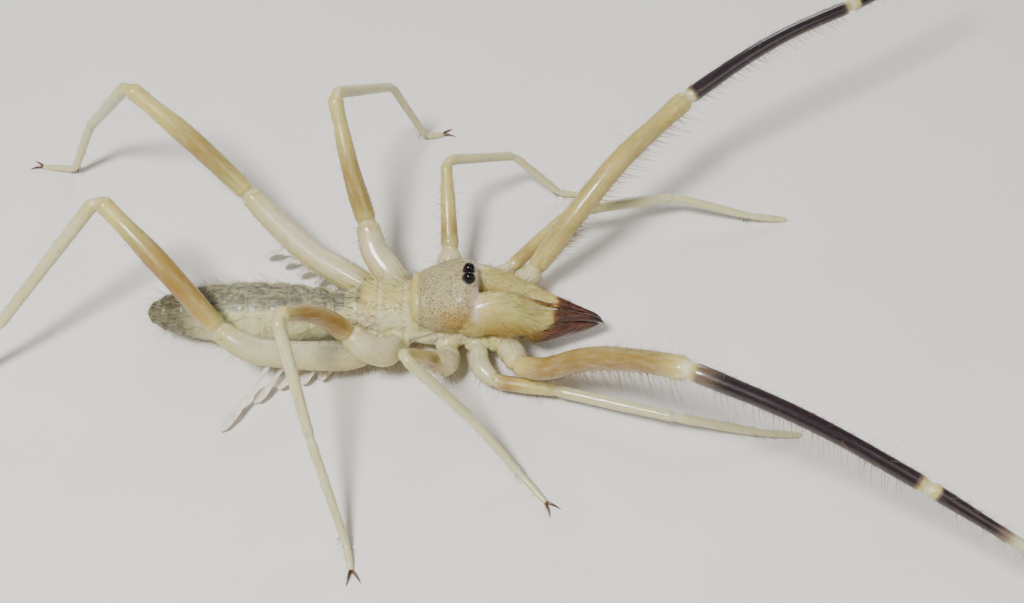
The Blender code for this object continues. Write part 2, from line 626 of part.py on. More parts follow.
def paint(obj, colour, roughness, metallic=0.0):
    """Gives a node its own finish."""
    material = bpy.data.materials.new(obj.name + "_finish")
    material.use_nodes = True
    shader = material.node_tree.nodes["Principled BSDF"]
    shader.inputs["Base Color"].default_value = (*colour, 1)
    shader.inputs["Roughness"].default_value = roughness
    shader.inputs["Metallic"].default_value = metallic
    obj.data.materials.clear()
    obj.data.materials.append(material)


def place_node(obj, pivot, parent):
    """Turns a node's millimetres into metres, with its origin on its pivot."""
    obj.data.transform(Matrix.Scale(MM, 4) @ Matrix.Translation(-pivot))
    obj.parent = parent
    obj.location = pivot * MM
    obj.data.shade_smooth()
    obj.data.set_sharp_from_angle(angle=math.radians(50))


def limb_colour(limb, segment):
    """The colour that one segment of a limb has."""
    if limb.startswith("palp"):
        return {"trochanter": PALE, "femur": CREAM, "tibia": PLUM, "foot": PLUM}[segment]
    if limb[-1] in "34" and segment == "femur":
        return AMBER if "right" in limb else CREAM
    return PALE if segment in ("metatarsus", "tarsus") else CREAM


def main():
    for obj in list(bpy.data.objects):
        bpy.data.objects.remove(obj)
    animal = bpy.data.objects.new("camel_spider", None)
    bpy.context.scene.collection.objects.link(animal)

    head = make_head()
    abdomen = make_abdomen()
    eyes = make_eyes()
    hands, fingers = [], []
    for label, side in (("right", -1), ("left", 1)):
        finger = make_chelicera(side, FINGER_SECTIONS[label], "finger_" + label)
        hand = make_chelicera(side, HAND_SECTIONS[label], "chelicera_" + label)
        clear_of(hand, [finger])
        hands.append(hand)
        fingers.append(finger)
    clear_of(head, eyes + hands)

    paths, segments, coxae = make_limbs()
    sections = [(x, trunk_y(x), half, low, high) for x, half, low, high in THORAX_SECTIONS]
    thorax = trunk_loft("thorax", sections, HEAD_SIDES, 2.2, (0.0, 0.2))
    fuse(thorax, coxae)
    clear_of(thorax, [head] + hands + fingers)
    plain = {limb: grown_copy(segments[limb, "trochanter"], GAP) for limb in LIMBS}
    for limb in LIMBS:
        beside = CUT_BY_NEIGHBOUR.get(limb)
        cutters = [grown_copy(n, GAP) for n in [thorax, head] + hands + fingers]
        if beside:
            cutters.append(plain.pop(beside))
        combine(segments[limb, "trochanter"], cutters, "DIFFERENCE")
    for spare in plain.values():
        bpy.data.objects.remove(spare)

    add_combs(segments, paths)
    add_claws(segments, paths)
    add_malleoli(segments, paths)

    trunk = {"head": (head, SAND), "thorax": (thorax, CREAM), "abdomen": (abdomen, OLIVE_GREY)}
    for node, colour in trunk.values():
        paint(node, colour, 0.45)
        place_node(node, Vector((0, 0, 0)), animal)
    for eye in eyes:
        paint(eye, BLACK, 0.08)
        place_node(eye, Vector((EYE_X, 0, EYE_Z)), animal)
    for hand, finger in zip(hands, fingers):
        paint(hand, CREAM, 0.4)
        place_node(hand, Vector((HAND_SECTIONS["right"][0][0], 0, 0)), animal)
        paint(finger, RED_BROWN, 0.3)
        place_node(finger, Vector((FINGER_SECTIONS["right"][0][0], 0, 0)), animal)
    for (limb, joint), segment in segments.items():
        flatten_soles(segment)
        paint(segment, limb_colour(limb, joint), 0.35)
        place_node(segment, paths[limb].at(paths[limb].joints[joint])[0], animal)

    bpy.context.view_layer.update()
    corners = [o.matrix_world @ v.co for o in bpy.data.objects if o.type == "MESH" for v in o.data.vertices]
    low = Vector([min(c[i] for c in corners) for i in range(3)])
    high = Vector([max(c[i] for c in corners) for i in range(3)])
    animal.location = Vector((-(low.x + high.x) / 2, -(low.y + high.y) / 2, -low.z))


main()
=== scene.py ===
# %% [markdown]
# # A camel spider on a pale floor
# The animal's solids come ready made and give every size and place. This script grows the
# looks over them: one seamless skin, hard jaws and claws, shiny eyes and thousands of bristles.
# We load the solids first.

# %% Load the frame
import math

import bmesh
import bpy
import numpy as np
from mathutils import Matrix, Vector, kdtree, noise


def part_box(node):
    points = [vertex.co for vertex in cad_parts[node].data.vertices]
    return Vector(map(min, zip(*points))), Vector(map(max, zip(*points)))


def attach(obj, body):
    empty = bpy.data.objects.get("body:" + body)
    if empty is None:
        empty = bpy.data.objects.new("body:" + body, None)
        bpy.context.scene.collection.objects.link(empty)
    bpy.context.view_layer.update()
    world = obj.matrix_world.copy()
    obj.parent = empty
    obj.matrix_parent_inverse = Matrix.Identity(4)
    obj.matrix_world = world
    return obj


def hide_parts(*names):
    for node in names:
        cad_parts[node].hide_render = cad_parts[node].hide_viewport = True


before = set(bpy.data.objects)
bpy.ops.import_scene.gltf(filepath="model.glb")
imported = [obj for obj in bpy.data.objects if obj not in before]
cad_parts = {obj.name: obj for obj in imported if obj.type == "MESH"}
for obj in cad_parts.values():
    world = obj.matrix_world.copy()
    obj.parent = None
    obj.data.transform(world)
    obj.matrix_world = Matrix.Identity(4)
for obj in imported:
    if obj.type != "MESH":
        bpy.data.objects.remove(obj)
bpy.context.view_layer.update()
MM = 0.001

# %% [markdown]
# ## Where the animal stands
# It is easiest to model such a small animal in millimetres, measured from the floor point under
# the roots of its palps, the two long feelers. The solids were centred on the world's origin, so
# we compare the left eye's place in both systems, and that difference moves finished pieces home.

# %% Work out the shift from the left eye
TRUNK_Y = -4.75
TRUNK_LEAN = -0.018
TRUNK_PIVOT_X = -15.0
EYE_X = -4.45
EYE_Z = 10.95
EYE_APART = 1.38
EYE_LOOK_APART = 1.2


def trunk_y(x):
    """The middle of the trunk at a place along it."""
    return TRUNK_Y + TRUNK_LEAN * (x - TRUNK_PIVOT_X)


low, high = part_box("eye_left")
eye_left = Vector((EYE_X, trunk_y(EYE_X) + EYE_APART / 2, EYE_Z))
SHIFT = (low + high) / 2 / MM - eye_left
FLOOR_Z = -SHIFT.z
print("shift in mm:", tuple(round(v, 2) for v in SHIFT))

# %% [markdown]
# ## Camera, light and floor
# The camera stands in front of the animal's right side and looks down at it. Its lens and height
# follow from the picture's perspective. Soft studio light comes from large area lamps, and the
# world adds an even fill, so that the pale cuticle keeps its colour in the shadows.

# %% Set up the camera
CAMERA_ELEVATION = 51.3
CAMERA_DISTANCE = 152.4
FOCAL_PIXELS = 1360
PICTURE_WIDTH = 1024
SENSOR_WIDTH = 36.0
CLIP_START = 0.005


def home(point):
    """A point in the animal's millimetres as a place in the scene's metres."""
    return (Vector(point) + SHIFT) * MM


def link_new(name, data):
    """A new object with this data, put in the scene."""
    obj = bpy.data.objects.new(name, data)
    bpy.context.scene.collection.objects.link(obj)
    return obj


lens = bpy.data.cameras.new("camera")
lens.sensor_width = SENSOR_WIDTH
lens.lens = FOCAL_PIXELS / PICTURE_WIDTH * SENSOR_WIDTH
lens.clip_start = CLIP_START
camera = link_new("camera", lens)
tilt = math.radians(CAMERA_ELEVATION)
camera.location = home((0, -CAMERA_DISTANCE * math.cos(tilt), CAMERA_DISTANCE * math.sin(tilt)))
camera.rotation_euler = (math.pi / 2 - tilt, 0, 0)
bpy.context.scene.camera = camera
print("lens:", round(lens.lens, 1), "mm")

# %% Hang the lamps and lay the floor
FLOOR_HALF = 1.2
AIM_POINT = Vector((0, 0, 0.005))
LAMPS = {
    "key": {"place": (-0.10, -0.13, 0.30), "size": 0.08, "watts": 1.75},
    "fill": {"place": (0.26, -0.20, 0.24), "size": 0.30, "watts": 0.35},
    "rim": {"place": (0.06, 0.36, 0.22), "size": 0.20, "watts": 0.6},
}
WORLD_COLOUR = (1.0, 0.98, 0.95, 1)
WORLD_LIGHT = 0.2

for name, lamp in LAMPS.items():
    light = bpy.data.lights.new(name, "AREA")
    light.shape = "DISK"
    light.size = lamp["size"]
    light.energy = lamp["watts"]
    holder = link_new(name, light)
    holder.location = lamp["place"]
    aim = AIM_POINT - holder.location
    holder.rotation_euler = aim.to_track_quat("-Z", "Y").to_euler()

world = bpy.data.worlds.new("studio")
world.use_nodes = True
sky = world.node_tree.nodes["Background"].inputs
sky["Color"].default_value = WORLD_COLOUR
sky["Strength"].default_value = WORLD_LIGHT
bpy.context.scene.world = world

floor_mesh = bpy.data.meshes.new("floor")
corners = [(a * FLOOR_HALF, b * FLOOR_HALF, 0) for a, b in ((-1, -1), (1, -1), (1, 1), (-1, 1))]
floor_mesh.from_pydata(corners, [], [(0, 1, 2, 3)])
floor = link_new("floor", floor_mesh)
print("lamps:", len(LAMPS), "and a floor", 2 * FLOOR_HALF, "m across")

# %% [markdown]
# ## Shader maths as plain expressions
# A material is a graph of nodes. Written call by call it is hard to read, so a small class wraps a
# socket and lets us write sums on it. Each operator adds the Math node that it stands for, and one
# method adds any other node from its settings and its inputs.


# %% A material builder
class Wire:
    """An output socket that can be used in sums."""

    def __init__(self, paint, socket):
        self.paint = paint
        self.socket = socket

    def maths(self, operation, *values):
        return self.paint.node("ShaderNodeMath", {"operation": operation}, values)

    def __add__(self, other):
        return self.maths("ADD", self, other)

    __radd__ = __add__

    def __sub__(self, other):
        return self.maths("SUBTRACT", self, other)

    def __rsub__(self, other):
        return self.maths("SUBTRACT", other, self)

    def __mul__(self, other):
        return self.maths("MULTIPLY", self, other)

    __rmul__ = __mul__

    def ramp(self, low, high):
        """0 below low, 1 above high, and a smooth rise between."""
        settings = {"interpolation_type": "SMOOTHSTEP"}
        limits = {"Value": self, "From Min": low, "From Max": high}
        return self.paint.node("ShaderNodeMapRange", settings, limits)


class Paint:
    """A material and the nodes that are added to it."""

    def __init__(self, name):
        self.material = bpy.data.materials.new(name)
        self.material.use_nodes = True
        self.tree = self.material.node_tree
        self.shader = self.tree.nodes["Principled BSDF"]
        self.count = 0

    def node(self, kind, settings=None, inputs=(), output=0):
        """Adds a node: its settings first, then its inputs by name or place."""
        new = self.tree.nodes.new(kind)
        for key, value in (settings or {}).items():
            setattr(new, key, value)
        pairs = inputs.items() if isinstance(inputs, dict) else enumerate(inputs)
        for key, value in pairs:
            self.feed(new.inputs[key], value)
        self.count += 1
        return Wire(self, new.outputs[output])

    def feed(self, socket, value):
        """Links a wire to a socket, or sets the socket to a constant."""
        if isinstance(value, Wire):
            self.tree.links.new(value.socket, socket)
        else:
            socket.default_value = value

    def mask(self, name):
        """A value that was stored on the mesh under this name."""
        return self.node("ShaderNodeAttribute", {"attribute_name": name}, output="Fac")

    def place(self):
        """The point on the piece itself, which stays put when the camera moves."""
        return self.node("ShaderNodeTexCoord", output="Object")

    def grain(self, scale, detail=3.0, rough=0.5, place=None):
        """Soft noise of that many grains to the metre."""
        inputs = {"Vector": place or self.place(), "Scale": scale, "Detail": detail, "Roughness": rough}
        return self.node("ShaderNodeTexNoise", None, inputs)

    def blend(self, share, first, second):
        """The first colour where the share is 0, and the second where it is 1."""
        return self.node("ShaderNodeMix", {"data_type": "RGBA"}, {0: share, 6: first, 7: second}, output=2)

    def bump(self, height, strength, distance):
        inputs = {"Height": height, "Strength": strength, "Distance": distance}
        return self.node("ShaderNodeBump", None, inputs)

    def finish(self, **sockets):
        """Sets the shader's sockets by name, with underscores for spaces."""
        for key, value in sockets.items():
            self.feed(self.shader.inputs[key.replace("_", " ")], value)
        print("material", self.material.name, "with", self.count, "nodes")
        return self.material


# %% [markdown]
# ## The floor's finish
# A plain pale floor lets the shape speak. A faint grain keeps it from looking like empty paper.

# %% Paint the floor
paint = Paint("floor_plaster")
plaster = paint.blend(paint.grain(90.0), (0.74, 0.71, 0.66, 1), (0.80, 0.77, 0.72, 1))
floor.data.materials.append(paint.finish(Base_Color=plaster, Roughness=0.85))

# %% [markdown]
# ## The limbs' centrelines
# Every limb is a tube round a path. Each path is a list of corners, and the fourth number of a corner
# says how far its bend reaches. A quadratic curve rounds the bend, and a name marks it as a joint.
# We walk the finished path in small even steps, so that a place on it is just a length in millimetres.

# %% Corners of the ten limbs
PATH_STEP = 0.1
BEND_DOTS = 13
LIMBS = {
    "palp_right": [
        (-4.2, -6.0, 3.0), (-0.9, -8.3, 3.2, 0.4, "trochanter"), (0.2, -9.9, 3.5, 0.8),
        (0.5, -11.6, 3.9, 1.0, "femur"), (3.1, -13.3, 5.2, 2.2), (7.7, -15.8, 11.0, 3.6),
        (12.5, -20.3, 16.5, 2.4), (15.9, -23.3, 19.3, 1.8, "tibia"), (26.4, -27.9, 18.2, 6.0),
        (36.8, -32.9, 14.8, 1.5, "foot"), (48.8, -39.0, 10.5, 2.0), (51.7, -40.4, 9.3)],
    "palp_left": [
        (-3.8, -3.4, 3.0), (0.3, -1.2, 3.3, 0.4, "trochanter"), (1.5, 0.0, 3.6, 0.8),
        (2.6, 1.0, 4.6, 0.9, "femur"), (6.4, 3.6, 9.5, 2.6), (11.4, 8.4, 13.8, 3.4),
        (19.3, 16.2, 15.7, 1.8, "tibia"), (28.8, 22.2, 18.9, 6.0),
        (38.5, 27.7, 19.2, 1.5, "foot"), (50.2, 36.4, 18.0, 2.0), (53.2, 38.3, 17.5)],
    "leg_right_1": [
        (-5.2, -5.8, 2.6), (-3.6, -8.7, 3.0, 0.4, "trochanter"), (-3.4, -11.0, 2.6, 1.0),
        (-1.7, -12.6, 2.3, 0.8, "femur"), (4.7, -13.7, 2.2, 0.9, "tibia"),
        (16.8, -17.6, 3.0, 1.2, "metatarsus"), (25.7, -18.3, 1.2, 0.9, "tarsus"),
        (30.0, -18.0, 0.33)],
    "leg_left_1": [
        (-5.0, -3.6, 2.6), (-2.1, -0.3, 3.0, 0.4, "trochanter"), (-1.3, 0.8, 3.2, 0.7),
        (-0.1, 1.9, 3.7, 0.7, "femur"), (6.7, 8.6, 5.6, 1.6, "tibia"), (18.7, 12.4, 3.8, 1.2, "metatarsus"),
        (27.8, 11.6, 1.4, 0.9, "tarsus"), (32.3, 12.0, 0.33)],
    "leg_right_2": [
        (-7.6, -5.8, 2.8), (-6.6, -9.0, 3.1, 0.4, "trochanter"), (-6.9, -11.0, 3.2, 1.1),
        (-8.4, -12.2, 5.4, 0.9, "femur"), (-10.8, -18.0, 14.6, 2.6, "tibia"),
        (-4.0, -19.6, 5.7, 1.0, "metatarsus"), (1.0, -23.3, 0.95, 0.8, "tarsus"),
        (3.5, -26.2, 0.33)],
    "leg_left_2": [
        (-7.4, -3.6, 2.8), (-6.7, -0.2, 3.7, 0.4, "trochanter"), (-6.8, 1.1, 4.8, 0.8),
        (-6.8, 2.6, 6.0, 0.8, "femur"), (-7.3, 11.0, 11.3, 1.4, "tibia"), (0.2, 16.5, 6.4, 1.0, "metatarsus"),
        (5.6, 15.8, 0.95, 0.8, "tarsus"), (8.4, 15.9, 0.33)],
    "leg_right_3": [
        (-11.6, -5.8, 2.9), (-12.5, -8.9, 3.8, 0.4, "trochanter"), (-13.2, -10.7, 4.8, 0.9),
        (-15.1, -11.3, 6.3, 0.9), (-17.0, -10.3, 7.8, 1.1, "femur"), (-19.5, -11.4, 12.6, 2.6),
        (-22.6, -15.0, 16.7, 1.5, "tibia"), (-19.4, -23.9, 8.65, 1.0, "metatarsus"),
        (-16.1, -31.1, 0.95, 0.8, "tarsus"), (-15.5, -33.7, 0.33)],
    "leg_left_3": [
        (-11.4, -3.6, 2.9), (-11.9, -1.6, 4.4, 0.4, "trochanter"), (-13.4, -0.1, 5.3, 0.9),
        (-15.0, 1.6, 6.4, 1.1), (-15.9, 4.6, 8.2, 1.2, "femur"), (-17.5, 7.8, 13.2, 2.6),
        (-19.2, 13.8, 18.7, 1.5, "tibia"), (-13.9, 22.9, 11.3, 1.0, "metatarsus"),
        (-10.7, 25.4, 1.0, 0.8, "tarsus"), (-8.4, 26.2, 0.33)],
    "leg_right_4": [
        (-13.9, -5.8, 2.8), (-15.4, -9.3, 3.3, 0.4, "trochanter"), (-17.1, -10.1, 3.4, 0.9),
        (-22.2, -10.8, 4.4, 2.0), (-27.2, -11.3, 5.9, 2.2), (-30.3, -9.7, 7.4, 0.9, "femur"),
        (-36.0, -5.4, 13.2, 4.0), (-42.2, -0.6, 17.6, 1.6, "tibia"),
        (-53.6, -8.8, 6.7, 1.0, "metatarsus"), (-60.8, -13.1, 1.0, 0.8, "tarsus"),
        (-63.4, -15.6, 0.33)],
    "leg_left_4": [
        (-13.7, -3.6, 2.8), (-15.2, -1.3, 3.6, 0.4, "trochanter"), (-17.2, -0.2, 4.0, 0.9),
        (-22.1, 2.5, 5.0, 2.0), (-26.2, 6.0, 6.5, 2.0), (-29.4, 9.0, 8.1, 0.9, "femur"),
        (-35.2, 11.3, 14.6, 4.0), (-41.6, 14.6, 19.0, 1.6, "tibia"),
        (-49.2, 19.6, 8.0, 1.0, "metatarsus"), (-52.6, 19.6, 1.0, 0.8, "tarsus"),
        (-57.0, 20.7, 0.33)],
}
print("limbs:", len(LIMBS))


# %% Walk each path in even steps
def unit(vectors):
    """Vectors of any shape, each brought to length 1."""
    return vectors / np.maximum(np.linalg.norm(vectors, axis=-1, keepdims=True), 1e-9)


class Path:
    """A limb's centreline: points, directions and side vectors at even steps, and its joints."""

    def __init__(self, corners):
        points = np.array([c[:3] for c in corners], float)
        dots = [points[0]]
        marks = {}
        for i in range(1, len(points) - 1):
            reach, *name = corners[i][3:]
            before = unit(points[i - 1] - points[i]) * reach
            after = unit(points[i + 1] - points[i]) * reach
            for k, t in enumerate(np.linspace(0, 1, BEND_DOTS)):
                dots.append(points[i] + before * (1 - t) ** 2 + after * t ** 2)
                if name and k == BEND_DOTS // 2:
                    marks[name[0]] = len(dots) - 1
        dots.append(points[-1])
        dots = np.array(dots)
        along = np.concatenate([[0], np.cumsum(np.linalg.norm(np.diff(dots, axis=0), axis=1))])
        self.length = along[-1]
        self.joints = {name: along[i] for name, i in marks.items()}
        self.names = list(self.joints)
        self.stops = [self.joints[n] for n in self.names] + [self.length]
        self.steps = np.linspace(0, self.length, int(self.length / PATH_STEP) + 1)
        self.points = np.stack([np.interp(self.steps, along, dots[:, k]) for k in range(3)], 1)
        self.tangents = unit(np.gradient(self.points, axis=0))
        self.sides = self.carry_sides()

    def carry_sides(self):
        """Side vectors that turn as little as possible from one step to the next."""
        side = np.cross(self.tangents[0], (0, 0, 1))
        sides = []
        for tangent in self.tangents:
            side = unit(side - tangent * side.dot(tangent))
            sides.append(side)
        return np.array(sides)

    def at(self, s):
        """Point, direction and side vector at a length along the path."""
        i = int(np.clip(round(s / self.length * (len(self.steps) - 1)), 0, len(self.steps) - 1))
        return self.points[i], self.tangents[i], self.sides[i]


paths = {limb: Path(corners) for limb, corners in LIMBS.items()}
print("longest limb:", round(max(p.length for p in paths.values()), 1), "mm")

# %% [markdown]
# ## How thick each segment is
# A segment's radius is a short list of (share of its length, radius) in millimetres. Smooth steps
# join the values. At each joint the tube narrows to a soft neck and swells into a collar on both
# sides of it, which is how a jointed leg with a hard skin folds.

# %% Radii of the segments
PALP_RADII = {
    "coxa": [(0, 1.6), (1, 1.2)],
    "trochanter": [(0, 1.15), (0.45, 1.45), (0.9, 1.15), (1, 1.05)],
    "femur": [(0, 1.05), (0.1, 1.2), (0.45, 1.22), (0.85, 1.1), (0.95, 1.18), (1, 1.02)],
    "tibia": [(0, 0.84), (0.06, 0.94), (0.3, 0.85), (0.7, 0.78), (0.95, 0.78), (1, 0.66)],
    "foot": [(0, 0.64), (0.06, 0.74), (0.4, 0.6), (0.8, 0.46), (0.84, 0.56), (0.95, 0.46), (1, 0.3)],
}
LEG_RADII = {
    "1": {
        "coxa": [(0, 1.3), (1, 1.0)], "trochanter": [(0, 1.0), (0.5, 1.12), (1, 0.85)],
        "femur": [(0, 0.8), (0.4, 0.82), (1, 0.64)],
        "tibia": [(0, 0.64), (0.5, 0.64), (0.95, 0.56), (1, 0.5)],
        "metatarsus": [(0, 0.5), (0.5, 0.5), (1, 0.42)],
        "tarsus": [(0, 0.4), (0.5, 0.4), (0.88, 0.34), (1, 0.2)],
    },
    "2": {
        "coxa": [(0, 1.4), (1, 1.15)], "trochanter": [(0, 1.1), (0.5, 1.5), (1, 1.05)],
        "femur": [(0, 1.0), (0.5, 0.86), (0.92, 0.66), (1, 0.6)],
        "tibia": [(0, 0.58), (0.1, 0.6), (0.9, 0.52), (1, 0.46)],
        "metatarsus": [(0, 0.46), (0.5, 0.47), (1, 0.4)],
        "tarsus": [(0, 0.38), (0.5, 0.38), (0.88, 0.32), (1, 0.2)],
    },
    "3": {
        "coxa": [(0, 1.6), (1, 1.4)], "trochanter": [(0, 1.4), (0.3, 1.62), (0.65, 1.5), (1, 1.22)],
        "femur": [(0, 1.12), (0.15, 1.16), (0.5, 0.98), (0.86, 0.78), (0.95, 0.84), (1, 0.74)],
        "tibia": [(0, 0.66), (0.1, 0.66), (0.9, 0.55), (1, 0.5)],
        "metatarsus": [(0, 0.5), (0.5, 0.48), (1, 0.42)],
        "tarsus": [(0, 0.38), (0.5, 0.38), (0.88, 0.32), (1, 0.2)],
    },
    "4": {
        "coxa": [(0, 1.7), (1, 1.45)],
        "trochanter": [(0, 1.45), (0.2, 1.62), (0.5, 1.5), (0.8, 1.4), (1, 1.16)],
        "femur": [(0, 1.08), (0.2, 1.16), (0.55, 1.2), (0.85, 0.95), (0.95, 0.95), (1, 0.8)],
        "tibia": [(0, 0.7), (0.1, 0.72), (0.9, 0.6), (1, 0.54)],
        "metatarsus": [(0, 0.52), (0.5, 0.52), (1, 0.43)],
        "tarsus": [(0, 0.4), (0.5, 0.38), (0.88, 0.32), (1, 0.2)],
    },
}

# %% Turn the lists into radii
NECK_DEPTH, NECK_HALF = 0.16, 0.32
COLLAR_RISE, COLLAR_PLACE, COLLAR_HALF = 0.05, 0.75, 0.3


def read_profile(profile, share):
    """Values read from a list of (share, value), eased between neighbours."""
    places = np.array([p for p, _ in profile])
    values = np.array([v for _, v in profile])
    share = np.clip(share, 0, 1)
    i = np.clip(np.searchsorted(places, share, side="right") - 1, 0, len(places) - 2)
    t = (share - places[i]) / (places[i + 1] - places[i])
    t = t * t * (3 - 2 * t)
    return values[i] * (1 - t) + values[i + 1] * t


def bell(value, middle, half):
    """1 at the middle, about a third at a distance of half, and almost 0 at twice that."""
    return np.exp(-((value - middle) / half) ** 2)


def limb_radius(limb):
    """The tube's radius at each step of a limb's path, with necks and collars at its joints."""
    path, radii = paths[limb], PALP_RADII if limb.startswith("palp") else LEG_RADII[limb[-1]]
    radius = np.zeros(len(path.steps))
    starts = [0] + path.stops[:-1]
    for name, start, stop in zip(["coxa"] + path.names, starts, path.stops):
        here = (path.steps >= start) & (path.steps <= stop)
        radius[here] = read_profile(radii[name], (path.steps[here] - start) / (stop - start))
    for place in path.stops[:-1]:
        off = np.abs(path.steps - place)
        radius *= 1 - NECK_DEPTH * bell(off, 0, NECK_HALF)
        radius *= 1 + COLLAR_RISE * bell(off, COLLAR_PLACE, COLLAR_HALF)
    return radius


limb_radii = {limb: limb_radius(limb) for limb in LIMBS}
print("thickest limb:", round(max(r.max() for r in limb_radii.values()), 2), "mm in radius")

# %% [markdown]
# ## Closed tubes and lofts
# The flesh starts as separate closed shapes that run into each other. Two kinds make all but the
# eye mound: a tube round a path, and a loft along X through oval sections. Both are rings of points
# with faces between them, so one function makes the faces for both.


# %% Rings to shapes
def ring_faces(rings, sides):
    """Quads between rings of points, and a many-sided cap on each end."""
    faces = []
    for r in range(rings - 1):
        for k in range(sides):
            a, b = r * sides + k, r * sides + (k + 1) % sides
            faces.append((a, b, b + sides, a + sides))
    faces.append(tuple(reversed(range(sides))))
    faces.append(tuple((rings - 1) * sides + k for k in range(sides)))
    return faces


def new_mesh_object(name, verts, faces):
    mesh = bpy.data.meshes.new(name)
    mesh.from_pydata([tuple(v) for v in verts], [], faces)
    mesh.update()
    return link_new(name, mesh)


def tube(name, points, tangents, sides_at, wide, thick, sides=16):
    """A closed tube through points, oval where wide and thick differ."""
    ups = np.cross(tangents, sides_at)
    turns = 2 * np.pi * np.arange(sides) / sides
    across = sides_at[:, None] * (wide[:, None] * np.cos(turns))[..., None]
    upward = ups[:, None] * (thick[:, None] * np.sin(turns))[..., None]
    verts = (points[:, None] + across + upward).reshape(-1, 3)
    return new_mesh_object(name, verts, ring_faces(len(points), sides))


def smooth_curve(places, values, wanted):
    """A curve through the values with no corners, read at the wanted places."""
    slopes = np.gradient(values, places)
    i = np.clip(np.searchsorted(places, wanted, side="right") - 1, 0, len(places) - 2)
    width = places[i + 1] - places[i]
    t = (wanted - places[i]) / width
    first = (2 * t ** 3 - 3 * t ** 2 + 1) * values[i] + (t ** 3 - 2 * t ** 2 + t) * width * slopes[i]
    second = (-2 * t ** 3 + 3 * t ** 2) * values[i + 1] + (t ** 3 - t ** 2) * width * slopes[i + 1]
    return first + second


def loft(name, sections, step=0.15, sides=48, roundness=2.2):
    """A closed form along X through sections: (x, middle y, half width, lowest z, highest z)."""
    table = np.array(sorted(sections), float)
    x = np.linspace(table[0, 0], table[-1, 0], int((table[-1, 0] - table[0, 0]) / step) + 1)
    y, half, low, high = (smooth_curve(table[:, 0], table[:, k], x) for k in range(1, 5))
    turns = 2 * np.pi * np.arange(sides) / sides
    c, s = np.cos(turns), np.sin(turns)
    c, s = np.sign(c) * np.abs(c) ** (2 / roundness), np.sign(s) * np.abs(s) ** (2 / roundness)
    verts = np.stack([np.repeat(x[:, None], sides, 1), y[:, None] + half[:, None] * c,
                      ((low + high) / 2)[:, None] + ((high - low) / 2)[:, None] * s], -1)
    return new_mesh_object(name, verts.reshape(-1, 3), ring_faces(len(x), sides))


flesh = []
for limb, path in paths.items():
    radius = limb_radii[limb]
    flesh.append(tube(limb, path.points, path.tangents, path.sides, radius, radius))
print("limb tubes:", len(flesh))

# %% [markdown]
# ## The trunk
# A camel spider's trunk has a domed head shield, a short soft waist of separate plates and a long
# ringed abdomen. Each is a loft through a few sections measured from the picture. The bulbs of the
# jaws are lofts too, and their hard fingers come later as pieces of their own.

# %% Sections of the trunk
WAIST_SECTIONS = [
    (-18.2, 1.7, 2.4, 6.0), (-17.2, 2.3, 2.0, 6.7), (-16.3, 2.75, 1.6, 7.3), (-14.6, 3.15, 1.3, 7.9),
    (-12.8, 3.25, 1.2, 7.6), (-11.4, 3.3, 1.2, 7.7), (-9.4, 3.4, 1.2, 7.2), (-6.0, 3.5, 1.3, 6.0),
    (-3.2, 3.1, 1.5, 5.2), (-2.0, 2.2, 1.9, 4.4)]
SHIELD_SECTIONS = [
    (-10.9, 1.9, 5.2, 7.6), (-10.3, 2.75, 4.4, 8.5), (-9.0, 3.4, 4.0, 9.2), (-7.4, 3.9, 3.9, 9.8),
    (-5.8, 4.05, 4.3, 10.35), (-4.8, 3.8, 5.2, 10.45), (-4.0, 3.4, 6.2, 9.9), (-3.5, 2.7, 7.2, 9.2)]
BULB_SECTIONS = {
    "right": [
        (-5.8, 2.5, 1.1, 5.0, 7.2), (-5.0, 2.4, 1.6, 4.4, 8.2), (-3.9, 2.25, 1.85, 4.1, 9.1),
        (-2.7, 2.1, 1.9, 4.1, 9.6), (-0.9, 2.05, 1.92, 4.1, 9.5), (0.8, 2.0, 1.88, 4.0, 8.7),
        (2.2, 1.85, 1.7, 4.1, 7.5), (3.4, 1.6, 1.35, 4.4, 6.6), (4.6, 1.25, 0.95, 4.6, 6.1),
        (5.6, 1.03, 0.68, 4.6, 5.8), (6.4, 0.86, 0.48, 4.5, 5.5)],
    "left": [
        (-5.8, 2.5, 1.1, 5.0, 7.2), (-5.0, 2.4, 1.6, 4.4, 8.2), (-3.9, 2.2, 1.8, 4.2, 9.0),
        (-2.7, 2.05, 1.75, 4.3, 8.95), (-0.9, 1.95, 1.72, 4.0, 8.1),
        (0.8, 1.8, 1.6, 3.6, 7.1), (2.2, 1.6, 1.35, 3.8, 6.5), (3.4, 1.35, 1.05, 4.1, 5.95),
        (4.6, 1.1, 0.8, 4.2, 5.55), (5.6, 0.93, 0.6, 4.15, 5.3), (6.4, 0.8, 0.44, 4.15, 4.95)],
}

# %% Loft the trunk and the jaws' bulbs
ABDOMEN_RADII = [
    (0, 1.7), (0.05, 2.1), (0.16, 2.7), (0.33, 3.15), (0.5, 3.35), (0.66, 3.15), (0.8, 2.7), (0.9, 2.05),
    (0.97, 1.2), (1, 0.6)]
ABDOMEN_FRONT_X = -17.0
ABDOMEN_BACK_X = -39.3
ABDOMEN_FRONT_Z, ABDOMEN_SINK = 4.15, 0.75
ABDOMEN_FLATNESS = 0.98
ABDOMEN_RINGS = 10
ABDOMEN_STEPS = 161
FOLD_DEPTH = 0.13
SIDES = {"right": -1, "left": 1}


def fold_at(x):
    """1 in the middle of each fold between two rings of the abdomen, and 0 on the rings."""
    share = (x - ABDOMEN_FRONT_X) / (ABDOMEN_BACK_X - ABDOMEN_FRONT_X)
    return (1 - np.abs(np.sin(math.pi * ABDOMEN_RINGS * share))) ** 3


